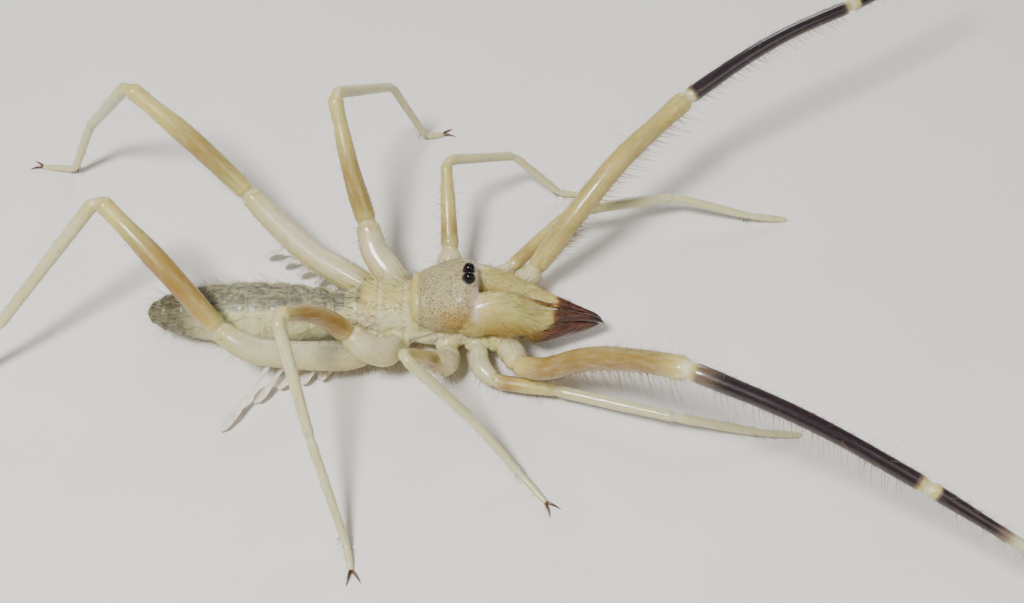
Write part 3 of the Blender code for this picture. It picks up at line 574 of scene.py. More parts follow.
def ringed_abdomen():
    """Ten soft rings: each swells between two narrow folds."""
    sections = []
    for share in np.linspace(0, 1, ABDOMEN_STEPS):
        x = ABDOMEN_FRONT_X + (ABDOMEN_BACK_X - ABDOMEN_FRONT_X) * share
        radius = float(read_profile(ABDOMEN_RADII, share) - FOLD_DEPTH * fold_at(x))
        middle = ABDOMEN_FRONT_Z - ABDOMEN_SINK * share
        low = middle - radius * ABDOMEN_FLATNESS
        sections.append((x, trunk_y(x), radius, low, middle + radius))
    return loft("abdomen_flesh", sections, roundness=2.0)


flesh.append(loft("waist", [(x, trunk_y(x), *rest) for x, *rest in WAIST_SECTIONS]))
flesh.append(loft("shield", [(x, trunk_y(x), *rest) for x, *rest in SHIELD_SECTIONS], roundness=2.35))
flesh.append(ringed_abdomen())
for label, side in SIDES.items():
    bulb = [(x, trunk_y(x) + side * out, *rest) for x, out, *rest in BULB_SECTIONS[label]]
    flesh.append(loft("jaw_bulb", bulb, roundness=2.1))
print("flesh pieces:", len(flesh))


# %% Raise the eye mound
MOUND_RADII = (1.05, 1.35, 0.8)
MOUND_BACK, MOUND_DROP = 0.15, 0.8


def settle(bm, name):
    """Turns a working mesh into an object in the scene."""
    mesh = bpy.data.meshes.new(name)
    bm.to_mesh(mesh)
    bm.free()
    return link_new(name, mesh)


def ball(name, centre, radii, turns=32, rows=16):
    """A closed ball or egg."""
    bm = bmesh.new()
    place = Matrix.Translation(centre) @ Matrix.Diagonal((*radii, 1))
    bmesh.ops.create_uvsphere(bm, u_segments=turns, v_segments=rows, radius=1.0, matrix=place)
    return settle(bm, name)


flesh.append(ball("eye_mound", (EYE_X - MOUND_BACK, trunk_y(EYE_X), EYE_Z - MOUND_DROP), MOUND_RADII))
print("flesh pieces:", len(flesh))

# %% [markdown]
# ## One seamless skin
# The overlapping shapes become one surface with a voxel remesh, which wraps a grid of small cubes
# round all of them. The cubes are a little over a tenth of a millimetre, so even a foot keeps its
# shape. A few rounds of smoothing then melt the seams where the limbs leave the trunk.

# %% Remesh the flesh
VOXEL = 0.125
SMOOTH_SHARE = 0.5
SMOOTH_ROUNDS = 3


def join(objects, name):
    """Puts several meshes in one object."""
    with bpy.context.temp_override(active_object=objects[0], selected_editable_objects=objects):
        bpy.ops.object.join()
    objects[0].name = name
    objects[0].data.name = name
    return objects[0]


skin = join(flesh, "skin")
remesh = skin.modifiers.new("remesh", "REMESH")
remesh.mode = "VOXEL"
remesh.voxel_size = VOXEL
remesh.use_smooth_shade = True
smooth = skin.modifiers.new("smooth", "SMOOTH")
smooth.factor = SMOOTH_SHARE
smooth.iterations = SMOOTH_ROUNDS
bpy.context.view_layer.objects.active = skin
for modifier in list(skin.modifiers):
    bpy.ops.object.modifier_apply(modifier=modifier.name)
print("skin faces:", len(skin.data.polygons))

# %% [markdown]
# ## Which part of the body each point belongs to
# Colour, wrinkles and bristles all depend on the place on the body. So each point of the skin looks
# up the nearest step of the nearest limb, and from that we know the limb, the segment and how far
# along it the point is. Points that are still inside the first joint belong to the trunk. Most
# borders are a pair of places, in millimetres, between which one part fades into the next.

# %% Read the skin into arrays
def read_vectors(items, key):
    """One vector from each of a mesh's items, as rows."""
    values = np.empty(len(items) * 3, np.float32)
    items.foreach_get(key, values)
    return values.reshape(-1, 3).astype(float)


count = len(skin.data.vertices)
co = read_vectors(skin.data.vertices, "co")
normals = read_vectors(skin.data.vertex_normals, "vector")

limb_names = list(paths)
tree = kdtree.KDTree(sum(len(p.steps) for p in paths.values()))
step_limb, step_s, step_radius = [], [], []
for index, (limb, path) in enumerate(paths.items()):
    for k, point in enumerate(path.points):
        tree.insert(point, len(step_limb))
        step_limb.append(index)
        step_s.append(path.steps[k])
        step_radius.append(limb_radii[limb][k])
tree.balance()
step_limb, step_s, step_radius = np.array(step_limb), np.array(step_s), np.array(step_radius)
step_point = np.concatenate([p.points for p in paths.values()])
step_tangent = np.concatenate([p.tangents for p in paths.values()])
step_side = np.concatenate([p.sides for p in paths.values()])

nearest = np.array([tree.find(p)[1:] for p in co])
step = nearest[:, 0].astype(int)
away = nearest[:, 1] / step_radius[step]
limb_of, s_of, along_of = step_limb[step], step_s[step], step_tangent[step]
off_line = co - step_point[step]
sideways = (off_line * step_side[step]).sum(1)
upways = (off_line * np.cross(along_of, step_side[step])).sum(1)
print("points on the skin:", count)


# %% Name the regions
LIMB_START = (-0.9, 0.1)
LIMB_REACH = (1.9, 1.4)
ABDOMEN_START = (-16.6, -17.6)
SHIELD_BACK, SHIELD_FRONT, SHIELD_FLOOR = (-11.0, -10.3), (-2.9, -3.5), (4.6, 5.6)
JAW_BACK, JAW_FLOOR, JAW_SIDE = (-3.6, -2.6), (3.2, 3.9), (4.4, 4.0)


def rise(value, low, high):
    """0 below low, 1 above high, with a smooth rise between. High may be less than low."""
    t = np.clip((value - low) / (high - low), 0, 1)
    return t * t * (3 - 2 * t)


first_joint = np.array([paths[n].stops[0] for n in limb_names])
on_limb = rise(s_of - first_joint[limb_of], *LIMB_START) * rise(away, *LIMB_REACH)
off_limb = 1 - on_limb
x, y, z = co.T
beside = np.abs(y - trunk_y(x))
on_abdomen = rise(x, *ABDOMEN_START) * off_limb
on_shield = rise(x, *SHIELD_BACK) * rise(x, *SHIELD_FRONT) * rise(z, *SHIELD_FLOOR) * off_limb
on_jaw = rise(x, *JAW_BACK) * rise(z, *JAW_FLOOR) * off_limb * rise(beside, *JAW_SIDE)
on_waist = np.clip(off_limb - on_abdomen - on_shield - on_jaw, 0, 1)
regions = {"limb": on_limb, "abdomen": on_abdomen, "shield": on_shield, "jaw": on_jaw, "waist": on_waist}
print("shares:", {name: round(float(mask.mean()), 3) for name, mask in regions.items()})

# %% [markdown]
# ## Folds and wrinkles
# Soft cuticle between hard plates creases, and the abdomen's sides sag in fine folds. These are too
# large for a bump map, so the points themselves move, by about a third of a millimetre at most.
# Creases follow stretched noise, and a bell-shaped dip or ridge at a known place makes each seam
# and rim.

# %% Move the points
CREASE_GRAINS, FINE_GRAINS = (1.7, 0.9, 1.1), (3.1, 1.6, 2.0)
FINE_OFFSET = 40
PLATE_EDGES, PLATE_HALF = (-16.6, -14.0, -11.3), 0.22
RIM, GUTTER = (-10.35, 0.3), (-9.75, 0.22)
MIDDLE_HALF = 0.16
BROW = (-3.75, 0.4)
HEM = (8.9, 0.2)
BELLY_SEAMS, SEAM_HALF, SEAM_SLANT = (-4.6, -6.3, -9.5, -12.65, -15.3), 0.17, 0.2
DEPTHS = {"wrinkle": 0.11, "fine": 0.05, "plates": 0.22, "rim": 0.12, "middle": 0.1, "brow": 0.1,
          "folds": 0.05, "hem": 0.12, "seams": 0.16}


def sample_noise(points, scale):
    """Smooth noise from -1 to 1 at each point."""
    return np.array([noise.noise(p) for p in points * scale])


creases = sample_noise(co, np.array(CREASE_GRAINS))
fine = sample_noise(co + FINE_OFFSET, np.array(FINE_GRAINS))
soft = on_waist * rise(beside, 0.6, 2.0) + 0.5 * on_abdomen * rise(np.abs(normals[:, 2]), 0.95, 0.5)
swell = DEPTHS["wrinkle"] * soft * (0.5 - np.abs(creases) * 2.2) + DEPTHS["fine"] * soft * fine

plate_edges = np.zeros(count)
for edge in PLATE_EDGES:
    plate_edges += bell(x, edge, PLATE_HALF) * rise(z, 3.0, 4.5)
swell -= DEPTHS["plates"] * plate_edges * on_waist
rim = bell(x, *RIM) - 0.9 * bell(x, *GUTTER)
swell += DEPTHS["rim"] * rim * on_shield * rise(z, 5.5, 7.0)
middle_line = bell(y, trunk_y(x), MIDDLE_HALF)
swell -= DEPTHS["middle"] * middle_line * on_shield * rise(x, -5.9, -6.6) * rise(z, 8.0, 9.0)
brow = bell(x, *BROW) * rise(z, 5.4, 6.6) * rise(beside, 0.9, 1.7)
swell += DEPTHS["brow"] * brow * off_limb

folds = fold_at(x) ** 2 * on_abdomen
swell -= DEPTHS["folds"] * folds
hem = bell(z - 0.5 * x, *HEM) * rise(beside, 2.4, 3.2) * rise(x, -10.6, -10.0)
hem = hem * rise(x, -4.6, -5.2) * off_limb
swell -= DEPTHS["hem"] * hem
seams = bell(beside, 0, 0.14)
for seam in BELLY_SEAMS:
    seams = np.maximum(seams, bell(x - seam + SEAM_SLANT * beside, 0, SEAM_HALF))
seams *= on_waist * rise(normals[:, 2], -0.2, -0.6)
swell -= DEPTHS["seams"] * seams

moved = co + normals * swell[:, None]
moved[:, 2] = np.maximum(moved[:, 2], FLOOR_Z)
skin.data.vertices.foreach_set("co", moved.astype(np.float32).ravel())
skin.data.update()
co = moved
print("largest move:", round(float(np.abs(swell).max()), 3), "mm")

# %% [markdown]
# ## Masks for the colours
# The cuticle is mostly cream, but the outer half of each palp is dark plum with a pale tip, the
# upper legs are amber, joints are whitish, the shield is dun with dark flecks and a grey band runs
# along the abdomen. Each of these is a mask from 0 to 1 that is stored on the skin for the material
# to read. Places on a limb are shares of a segment, and places on the trunk are millimetres. The
# skin also stores a place for each point in which noise runs lengthwise, for fibres in the limbs.

# %% Masks for the limbs
JOINT_HALF = 0.42
PLAIN_JOINT = 0.35
DARK_SPANS = {"tibia": (0.03, 0.955, 0.025), "foot": (0.06, 1.2, 0.02)}
DARK_SET_IN = {"palp_right": 0.2, "palp_left": 0.06}
FOOT_FADE, FOOT_DARKNESS = (0.56, 0.34), 0.92
FOOT_PALE, LEG_PALE = (0.3, 0.5), (-0.05, 0.2)
PALP_AMBER_SPAN = (0.1, 0.92, 0.08)
PALP_AMBER = {"palp_right": 0.95, "palp_left": 0.4}
AMBER_START = {"leg_left_4": 0.2}
AMBER_STOP = {"leg_right_3": 0.9, "leg_left_3": 0.6, "leg_right_4": 0.7, "leg_left_4": 0.6}
AMBER_EDGE = 0.18
FAR_AMBER = 0.8


def segment_share(limb, joint):
    """How far along a segment each point is: below 0 before it and above 1 past it."""
    path = paths[limb]
    stops = dict(zip(path.names, path.stops[1:]))
    share = (s_of - path.joints[joint]) / (stops[joint] - path.joints[joint])
    return np.where(limb_of == limb_names.index(limb), share, -9.0)


def within(share, low, high, soft_edge):
    """A mask over part of a segment."""
    return rise(share, low - soft_edge, low + soft_edge) * rise(share, high + soft_edge, high - soft_edge)


dark, amber, joint, pale, trochanter = np.zeros((5, count))
for limb, path in paths.items():
    here = limb_of == limb_names.index(limb)
    for place in path.stops[:-1]:
        plain = not limb.startswith("palp") or place < path.joints["tibia"]
        ring = bell(s_of, place, JOINT_HALF) * (PLAIN_JOINT if plain else 1.0)
        joint = np.maximum(joint, np.where(here, ring, 0))
    femur, tibia = segment_share(limb, "femur"), segment_share(limb, "tibia")
    if limb.startswith("palp"):
        foot = segment_share(limb, "foot")
        shaft = within(tibia, *DARK_SPANS["tibia"]) * (0.45 + 0.55 * rise(tibia, 0.0, DARK_SET_IN[limb]))
        tip = within(foot, *DARK_SPANS["foot"]) * rise(foot, *FOOT_FADE)
        dark = np.maximum(dark, np.maximum(shaft, tip * FOOT_DARKNESS))
        amber = np.maximum(amber, within(femur, *PALP_AMBER_SPAN) * PALP_AMBER[limb])
        pale = np.maximum(pale, rise(foot, *FOOT_PALE))
    else:
        stretch = within(femur, AMBER_START.get(limb, 0.06), AMBER_STOP.get(limb, 0.35), AMBER_EDGE)
        amber = np.maximum(amber, stretch * (1.0 if "right" in limb else FAR_AMBER))
        pale = np.maximum(pale, rise(tibia, *LEG_PALE))
    trochanter = np.maximum(trochanter, within(segment_share(limb, "trochanter"), 0.1, 0.9, 0.15))
upward = normals[:, 2]
dark *= on_limb
joint *= on_limb
pale *= on_limb
# Amber is the legs' own colour, but it thins on upward faces: a paler top painted as light falling there.
amber *= on_limb * (0.72 + 0.28 * rise(upward, 0.95, 0.1))
# The whitish lavender of the trochanters is their own tone, made stronger on their tops as a painted sheen.
trochanter *= on_limb * (0.35 + 0.65 * rise(upward, 0.0, 0.8))
print("dark points:", int((dark > 0.5).sum()), "amber points:", int((amber > 0.5).sum()))

# %% Masks for the trunk and the jaws
BAND_STEEP, BAND_FRONT = (0.74, 0.88), (-15.2, -16.6)
TAIL = (-31.8, -35.8)
DUN_HEM, DUN_FRONT, DUN_BACK = (8.6, 9.6), (-3.6, -4.2), (-10.1, -9.6)
STAIN_X, STAIN_Z, STAIN_SIDE = (-5.6, 2.4), (7.5, 1.9), (1.6, 2.9)
RIDGE = (-3.7, 0.5)
HORN_START, HORN_LEAN, HORN_FAR = (2.9, 5.5), 0.5, 0.8
# The crevice numbers place a line of painted shade in the gap between the two jaws.
CREVICE, CREVICE_FRONT, CREVICE_SHADE_SHARE = (0.47, 0.2), (1.2, 2.6), 0.6
PIGMENT_REACH = (0.86, 0.68)

across = y - trunk_y(x)
band = off_limb * rise(upward, *BAND_STEEP) * rise(x, *BAND_FRONT)
tail = rise(x, *TAIL) * on_abdomen
soft_waist = on_waist * rise(z, 2.0, 3.2) * rise(z, 7.6, 6.0)
membrane = np.clip(soft_waist + 0.8 * plate_edges * on_waist, 0, 1)
shield = on_shield * rise(z - 0.5 * x, *DUN_HEM) * rise(x, *DUN_FRONT) * rise(x, *DUN_BACK)
stain = bell(x, *STAIN_X) * bell(z, *STAIN_Z) * rise(beside, *STAIN_SIDE) * off_limb
stain = np.maximum(stain, 0.85 * on_jaw * rise(upward, 0.7, -0.2) * rise(x, 2.6, 0.6))
ridge = bell(x, *RIDGE) * rise(z, 7.2, 8.6) * off_limb
far_jaw = rise(across, -0.1, 0.3)
horn_and_crevice_shade = on_jaw * rise(x - HORN_LEAN * (z - 5.4) - HORN_FAR * far_jaw, *HORN_START)
# A red-brown line down the gap between the two jaws is painted shade, mixed into the horn mask.
crevice_shade = on_jaw * bell(across, *CREVICE) * rise(x, *CREVICE_FRONT)
horn_and_crevice_shade = np.maximum(horn_and_crevice_shade, CREVICE_SHADE_SHARE * crevice_shade)
pigment = np.zeros(count)
for side in SIDES.values():
    eye_middle = np.array((EYE_X, trunk_y(EYE_X) + side * EYE_LOOK_APART / 2, EYE_Z))
    pigment = np.maximum(pigment, rise(np.linalg.norm(co - eye_middle, axis=1), *PIGMENT_REACH))
print("horn points:", int((horn_and_crevice_shade > 0.5).sum()))


# %% Store the masks on the skin
def store(obj, name, values):
    attribute = obj.data.attributes.new(name, "FLOAT", "POINT")
    attribute.data.foreach_set("value", np.asarray(values, np.float32))


masks = {"dark": dark, "amber": amber, "joint": joint, "band": band, "tail": tail, "pale": pale,
         "membrane": membrane, "shield": shield, "jaw": on_jaw, "stain": stain, "ridge": ridge,
         # The horn mask holds the jaws' own red-brown horn and the painted shade in the gap between the jaws.
         "horn": horn_and_crevice_shade, "pigment": pigment, "abdomen": on_abdomen, "waist": on_waist,
         # The seams mask marks where brown painted shade lies in the grooves.
         "folds": folds, "trochanter": trochanter, "seams": np.maximum(seams, hem)}
for name, values in masks.items():
    store(skin, name, np.clip(values, 0, 1))
print("masks:", ", ".join(masks))

# %% Store a way to stretch noise along the limbs
LIMB_STRETCH, TRUNK_STRETCH = 0.16, 0.4
LIMB_APART = 7

inside_limb = np.stack([s_of * LIMB_STRETCH + limb_of * LIMB_APART, sideways, upways], 1)
flow = np.where(on_limb[:, None] > 0.5, inside_limb, co * (TRUNK_STRETCH, 1, 1))
attribute = skin.data.attributes.new("flow", "FLOAT_VECTOR", "POINT")
attribute.data.foreach_set("vector", flow.astype(np.float32).ravel())
print("stretched places:", len(flow))


# %% Bring a piece home
def bring_home(obj):
    """Turns a piece's millimetres into the scene's metres, with the shift put in its points."""
    obj.data.transform(Matrix.Scale(MM, 4) @ Matrix.Translation(SHIFT))
    obj.data.shade_smooth()
    return obj


FLESH_NODES = [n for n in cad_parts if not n.startswith(("eye", "finger"))]
bring_home(skin)
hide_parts(*FLESH_NODES)
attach(skin, "root")
print("the skin stands for", len(FLESH_NODES), "solids")

# %% [markdown]
# ## The cuticle
# Real cuticle is thin, waxy and slightly see-through, so light spreads inside it. The shader's
# subsurface gives that glow, a smooth coat gives the wet highlights, and noise at three scales breaks
# the colour: broad drifts of green and yellow, veins of white under the skin, and fine flecks. Each
# layer is a share from 0 to 1 and a colour, and covers what lies under it.

# %% Mix the colours
CREAM = (0.54, 0.43, 0.13, 1)
GREENISH = (0.43, 0.40, 0.12, 1)
PALE = (0.56, 0.55, 0.33, 1)
WHITE = (0.72, 0.68, 0.48, 1)
AMBER = (0.23, 0.115, 0.009, 1)
DUN = (0.38, 0.33, 0.19, 1)
GREY_DUN = (0.25, 0.22, 0.145, 1)
STAIN = (0.36, 0.23, 0.04, 1)
PINKISH = (0.60, 0.50, 0.44, 1)
LAVENDER = (0.60, 0.58, 0.53, 1)
# Brown painted shade for the belly seams and the hem groove.
GROOVE_SHADE = (0.20, 0.14, 0.06, 1)
FLECK = (0.09, 0.06, 0.04, 1)
BAND_GREY = (0.105, 0.098, 0.068, 1)
SIDE_GREEN = (0.56, 0.57, 0.33, 1)
TAIL_OLIVE = (0.055, 0.040, 0.014, 1)
DUSTY = (0.15, 0.10, 0.07, 1)
PLUM = (0.016, 0.008, 0.011, 1)
HORN_RED = (0.070, 0.018, 0.009, 1)
RUST = (0.22, 0.10, 0.035, 1)
PIGMENT = (0.01, 0.008, 0.01, 1)
print("cream:", CREAM)

# %% Paint the cuticle in layers
paint = Paint("cuticle")
flow_place = paint.node("ShaderNodeAttribute", {"attribute_name": "flow"}, output="Vector")
broad = paint.grain(260.0)
fibres = paint.grain(2.6, 4.0, 0.6, flow_place)
veins = paint.grain(1100.0, 4.0, 0.6)
dots = paint.node("ShaderNodeTexVoronoi", None, {"Vector": paint.place(), "Scale": 4800.0})
flecks = dots.ramp(0.5, 0.28) * veins.ramp(0.38, 0.52)
# The horn mask is the horn's own colour plus painted shade in the gap between the jaws.
horn_and_shade_edge = paint.mask("horn")
horn_and_shade_edge = horn_and_shade_edge + 6 * (fibres - 0.5) * horn_and_shade_edge * (1 - horn_and_shade_edge)
layers = [
    (paint.mask("pale") * 0.75, PALE),
    # The amber share is lower on top of the limbs, where a paler top is painted as light.
    (paint.mask("amber") * (0.7 + 0.5 * broad), AMBER),
    (fibres.ramp(0.42, 0.85) * 0.28, WHITE),
    # Lavender on the trochanters: their own tone, stronger on top as painted sheen.
    (paint.mask("trochanter") * (0.15 + 0.5 * veins), LAVENDER),
    (paint.mask("membrane") * (0.35 + 0.4 * veins), WHITE),
    (paint.mask("abdomen") * 0.7, SIDE_GREEN),
    (paint.mask("band") * (0.6 + 0.4 * fibres.ramp(0.35, 0.6)), BAND_GREY),
    (paint.mask("folds") * 0.18, SIDE_GREEN),
    (paint.mask("tail") * (0.8 + 0.2 * fibres.ramp(0.35, 0.7)), TAIL_OLIVE),
    (paint.mask("shield") * 0.75, paint.blend(paint.grain(1500.0).ramp(0.42, 0.62) * 0.6, DUN, GREY_DUN)),
    (paint.mask("stain") * (0.65 + 0.6 * veins), STAIN),
    # Brown along the belly seams and the hem is painted shade in those grooves.
    (paint.mask("seams") * 0.7, GROOVE_SHADE),
    (paint.mask("shield") * flecks * 0.85, FLECK),
    (paint.mask("ridge") * (0.4 + 0.5 * veins), PINKISH),
    (paint.mask("joint") * 0.7, WHITE),
    (horn_and_shade_edge.ramp(0.12, 0.6), RUST),
    (horn_and_shade_edge.ramp(0.35, 0.85), HORN_RED),
    (paint.mask("dark").ramp(0.02, 0.5), DUSTY),
    (paint.mask("dark").ramp(0.42, 0.95), PLUM),
    (paint.mask("pigment"), PIGMENT),
]
colour = paint.blend(broad.ramp(0.35, 0.65), CREAM, GREENISH)
for share, cover in layers:
    colour = paint.blend(share, colour, cover)
dull = paint.mask("shield") + paint.mask("abdomen") + paint.mask("waist") + 0.6 * paint.mask("jaw")
rough = 0.30 + 0.16 * veins + 0.12 * dull - 0.06 * paint.mask("dark")
relief = (0.6 * veins + 0.4 * paint.grain(5200.0, 2.0)) * (1 - 0.8 * paint.mask("dark"))
cuticle = paint.finish(
    Base_Color=colour, Roughness=rough, Normal=paint.bump(relief, 0.35, 0.00006),
    Subsurface_Weight=0.3, Subsurface_Radius=(1.0, 0.75, 0.35), Subsurface_Scale=0.0008,
    Coat_Weight=0.45 - 0.35 * dull, Coat_Roughness=0.1, IOR=1.45)
skin.data.materials.clear()
skin.data.materials.append(cuticle)

# %% [markdown]
# ## Eyes
# Two round black beads sit side by side on the mound at the front of the shield. The solids' beads
# have few faces, so finer ones take their place. Black glass has almost no colour of its own: its
# look is all in a sharp coat, with a trace of brown inside.

# %% Set the eyes
EYE_LOOK_RADIUS = 0.6

paint = Paint("eye_glass")
depth = paint.grain(900.0)
eye_finish = paint.finish(
    Base_Color=paint.blend(depth.ramp(0.4, 0.8), (0.004, 0.004, 0.005, 1), (0.020, 0.010, 0.008, 1)),
    Roughness=0.05, Coat_Weight=0.1, Coat_Roughness=0.02, Specular_IOR_Level=0.18)
for label, side in SIDES.items():
    middle = (EYE_X, trunk_y(EYE_X) + side * EYE_LOOK_APART / 2, EYE_Z)
    eye = ball("eye_bead_" + label, middle, (EYE_LOOK_RADIUS,) * 3, 40, 24)
    eye.data.materials.append(eye_finish)
    bring_home(eye)
    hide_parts("eye_" + label)
    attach(eye, "root")
print("eyes:", 2)

# %% [markdown]
# ## The jaws' hard fingers
# Each jaw ends in two fingers of hard dark cuticle: a fixed one above and a moving one below, closed
# against it. Both are lofts with long grooves, because a smooth cone would look like plastic. A row
# of cone-shaped teeth stands along the edges that meet.

# %% Sections of the fingers
FIXED_SECTIONS = {
    "right": [
        (4.3, 1.3, 0.5, 5.0, 5.9), (5.2, 1.12, 0.6, 4.75, 5.85), (6.4, 0.85, 0.54, 4.45, 5.6),
        (7.4, 0.68, 0.43, 4.2, 5.2), (8.4, 0.52, 0.34, 3.95, 4.7), (9.2, 0.4, 0.27, 3.6, 4.15),
        (9.7, 0.36, 0.17, 3.35, 3.7), (9.95, 0.35, 0.05, 3.15, 3.3)],
    "left": [
        (4.2, 1.18, 0.45, 4.5, 5.2), (5.2, 1.0, 0.55, 4.4, 5.15), (6.4, 0.8, 0.5, 4.1, 5.0),
        (7.4, 0.64, 0.4, 3.85, 4.6), (8.2, 0.52, 0.32, 3.6, 4.25), (9.0, 0.42, 0.25, 3.35, 3.85),
        (9.4, 0.38, 0.15, 3.15, 3.5), (9.65, 0.37, 0.05, 3.05, 3.2)],
}
FINGER_SECTIONS = {
    "right": [
        (1.4, 2.0, 0.7, 3.3, 4.4), (2.2, 2.0, 1.25, 2.6, 4.9), (3.4, 1.75, 1.38, 2.2, 5.2),
        (4.8, 1.4, 1.2, 2.15, 5.05), (6.4, 1.0, 0.85, 2.2, 4.55), (7.6, 0.75, 0.6, 2.4, 3.9),
        (8.6, 0.55, 0.34, 2.8, 3.55), (9.1, 0.46, 0.18, 3.0, 3.4), (9.35, 0.43, 0.05, 3.15, 3.3)],
    "left": [
        (1.4, 1.9, 0.6, 2.4, 3.3), (2.2, 1.8, 1.05, 1.95, 3.6), (3.4, 1.6, 1.1, 1.8, 3.75),
        (4.8, 1.3, 0.93, 1.85, 3.75), (6.4, 0.95, 0.65, 2.0, 3.5), (7.6, 0.75, 0.48, 2.15, 3.15),
        (8.6, 0.55, 0.28, 2.3, 2.8), (8.9, 0.5, 0.16, 2.4, 2.65), (9.1, 0.48, 0.05, 2.5, 2.6)],
}

# %% Loft the fingers with grooves and teeth
GROOVES = 11
GROOVE_DEPTH = 0.045
TEETH = {"fixed": (5.5, 6.2, 6.8, 7.4, 7.9, 8.4), "moving": (4.6, 5.3, 6.0, 6.7, 7.3, 7.9)}
TOOTH_LENGTH, TOOTH_LEAN = 0.55, 22
TOOTH_RADIUS, TOOTH_TIP = 0.2, 0.015
GROOVE_FADE, GROOVE_Z = (9.6, 6.0), 4.0


def groove(obj, depth, middle_y):
    """Presses long grooves into a finger, fading towards its tip."""
    for v in obj.data.vertices:
        turn = math.atan2(v.co.z - GROOVE_Z, v.co.y - middle_y)
        fade = rise(v.co.x, *GROOVE_FADE)
        v.co += v.normal * depth * fade * (math.sin(turn * GROOVES) * 0.5 - 0.5)


def tooth(x, y, z, down):
    """A cone that leans forward, pointing down or up."""
    bm = bmesh.new()
    bmesh.ops.create_cone(bm, cap_ends=True, segments=12, radius1=TOOTH_RADIUS, radius2=TOOTH_TIP,
                          depth=TOOTH_LENGTH)
    turn = Matrix.Rotation(math.radians(180 - TOOTH_LEAN if down else TOOTH_LEAN), 4, "Y")
    bmesh.ops.transform(bm, matrix=Matrix.Translation((x, y, z)) @ turn, verts=bm.verts)
    return settle(bm, "tooth")


def edge_of(sections, x, column):
    """A finger's middle, and its lowest or highest line, at a place along X."""
    table = np.array(sections)
    return [float(np.interp(x, table[:, 0], table[:, k])) for k in (1, column)]


def jaw_finger(label, kind):
    """One grooved finger with its row of teeth."""
    side = SIDES[label]
    sections = (FIXED_SECTIONS if kind == "fixed" else FINGER_SECTIONS)[label]
    placed = [(x, trunk_y(x) + side * out, *rest) for x, out, *rest in sections]
    finger = loft(f"jaw_{kind}_{label}", placed, step=0.1, sides=56, roundness=2.0)
    groove(finger, GROOVE_DEPTH, trunk_y(6) + side * 1.0)
    pieces = [finger]
    for x in TEETH[kind]:
        out, edge = edge_of(sections, x, 3 if kind == "fixed" else 4)
        pieces.append(tooth(x, trunk_y(x) + side * out, edge, kind == "fixed"))
    return join(pieces, finger.name)


fingers = {(label, kind): jaw_finger(label, kind) for label in SIDES for kind in TEETH}
print("fingers:", len(fingers), "with", sum(len(t) for t in TEETH.values()) * 2, "teeth")

# %% Paint the fingers
RED_BROWN = (0.050, 0.011, 0.006, 1)
TAWNY = (0.16, 0.052, 0.02, 1)
TIP_BLACK = (0.010, 0.006, 0.006, 1)
TIP_PLACES, ROOT_PLACES = (7.6, 9.6), (6.2, 3.6)

paint = Paint("jaw_horn")
spread = paint.node("ShaderNodeSeparateXYZ", None, [paint.place()], output="X")
near_tip, near_root = (
    spread.ramp(*((place + SHIFT.x) * MM for place in places)) for places in (TIP_PLACES, ROOT_PLACES))
streaks = paint.node("ShaderNodeMapping", None, {"Vector": paint.place(), "Scale": (0.25, 1, 1)})
streaks = paint.grain(1900.0, 3.0, 0.6, streaks)
horn = paint.blend(streaks.ramp(0.4, 0.7) * 0.6 + near_root * 0.3, RED_BROWN, TAWNY)
horn = paint.blend(near_tip, horn, TIP_BLACK)
horn_finish = paint.finish(
    Base_Color=horn, Roughness=0.30 + 0.2 * streaks, Coat_Weight=0.35, Coat_Roughness=0.12,
    Normal=paint.bump(streaks, 0.4, 0.00005), Subsurface_Weight=0.08, Subsurface_Scale=0.0005,
    Subsurface_Radius=(1.0, 0.4, 0.2))
for (label, kind), finger in fingers.items():
    finger.data.materials.clear()
    finger.data.materials.append(horn_finish)
    bring_home(finger)
    if kind == "moving":
        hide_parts("finger_" + label)
    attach(finger, "root")

# %% [markdown]
# ## Flagella
# A male carries one on each jaw: a slim pale rod that lies along the inner edge of the hand. It is a
# tube whose middle stands a little off the skin, so that it catches the light along its length.

# %% Lay the flagella on the jaws
FLAGELLUM_STOPS = {
    "right": ((4.8, 0.8, 0.0), (3.6, 1.25, 0.1), (2.2, 1.95, 0.03)),
    "left": ((4.2, 0.47, 0.0), (3.2, 0.52, 0.03), (2.0, 0.56, 0.0)),
}
FLAGELLUM_RADIUS = 0.075
FLAGELLUM_STEPS = 14
FEEL_RADIUS = 0.2


def rod(name, line, wide, thick, sides):
    """A closed tube along a line of points, with its width held level."""
    tangents = unit(np.gradient(line, axis=0))
    return tube(name, line, tangents, unit(np.cross(tangents, (0, 0, 1))), wide, thick, sides)


def flagellum(label):
    """A pale rod along a jaw, from its root near the fixed finger back to its tip."""
    stops = []
    for along, out, lift in FLAGELLUM_STOPS[label]:
        across = trunk_y(along) + SIDES[label] * out
        near = np.hypot(co[:, 0] - along, co[:, 1] - across) < FEEL_RADIUS
        stops.append((along, across, co[near, 2].max() + lift))
    shares = np.linspace(0, 2, FLAGELLUM_STEPS)
    line = np.stack([np.interp(shares, (0, 1, 2), column) for column in np.array(stops).T], 1)
    radius = FLAGELLUM_RADIUS * (1.1 - 0.3 * shares)
    return rod("flagellum", line, radius, radius * 0.8, 12)


flagella = join([flagellum(label) for label in SIDES], "flagella")
paint = Paint("flagellum_skin")
beads = paint.grain(2600.0)
flagella.data.materials.append(paint.finish(
    Base_Color=paint.blend(beads.ramp(0.4, 0.6), (0.46, 0.44, 0.24, 1), (0.66, 0.64, 0.44, 1)),
    Roughness=0.2 + 0.2 * beads, Coat_Weight=0.4, Coat_Roughness=0.1))
bring_home(flagella)
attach(flagella, "root")
print("flagella:", len(SIDES))

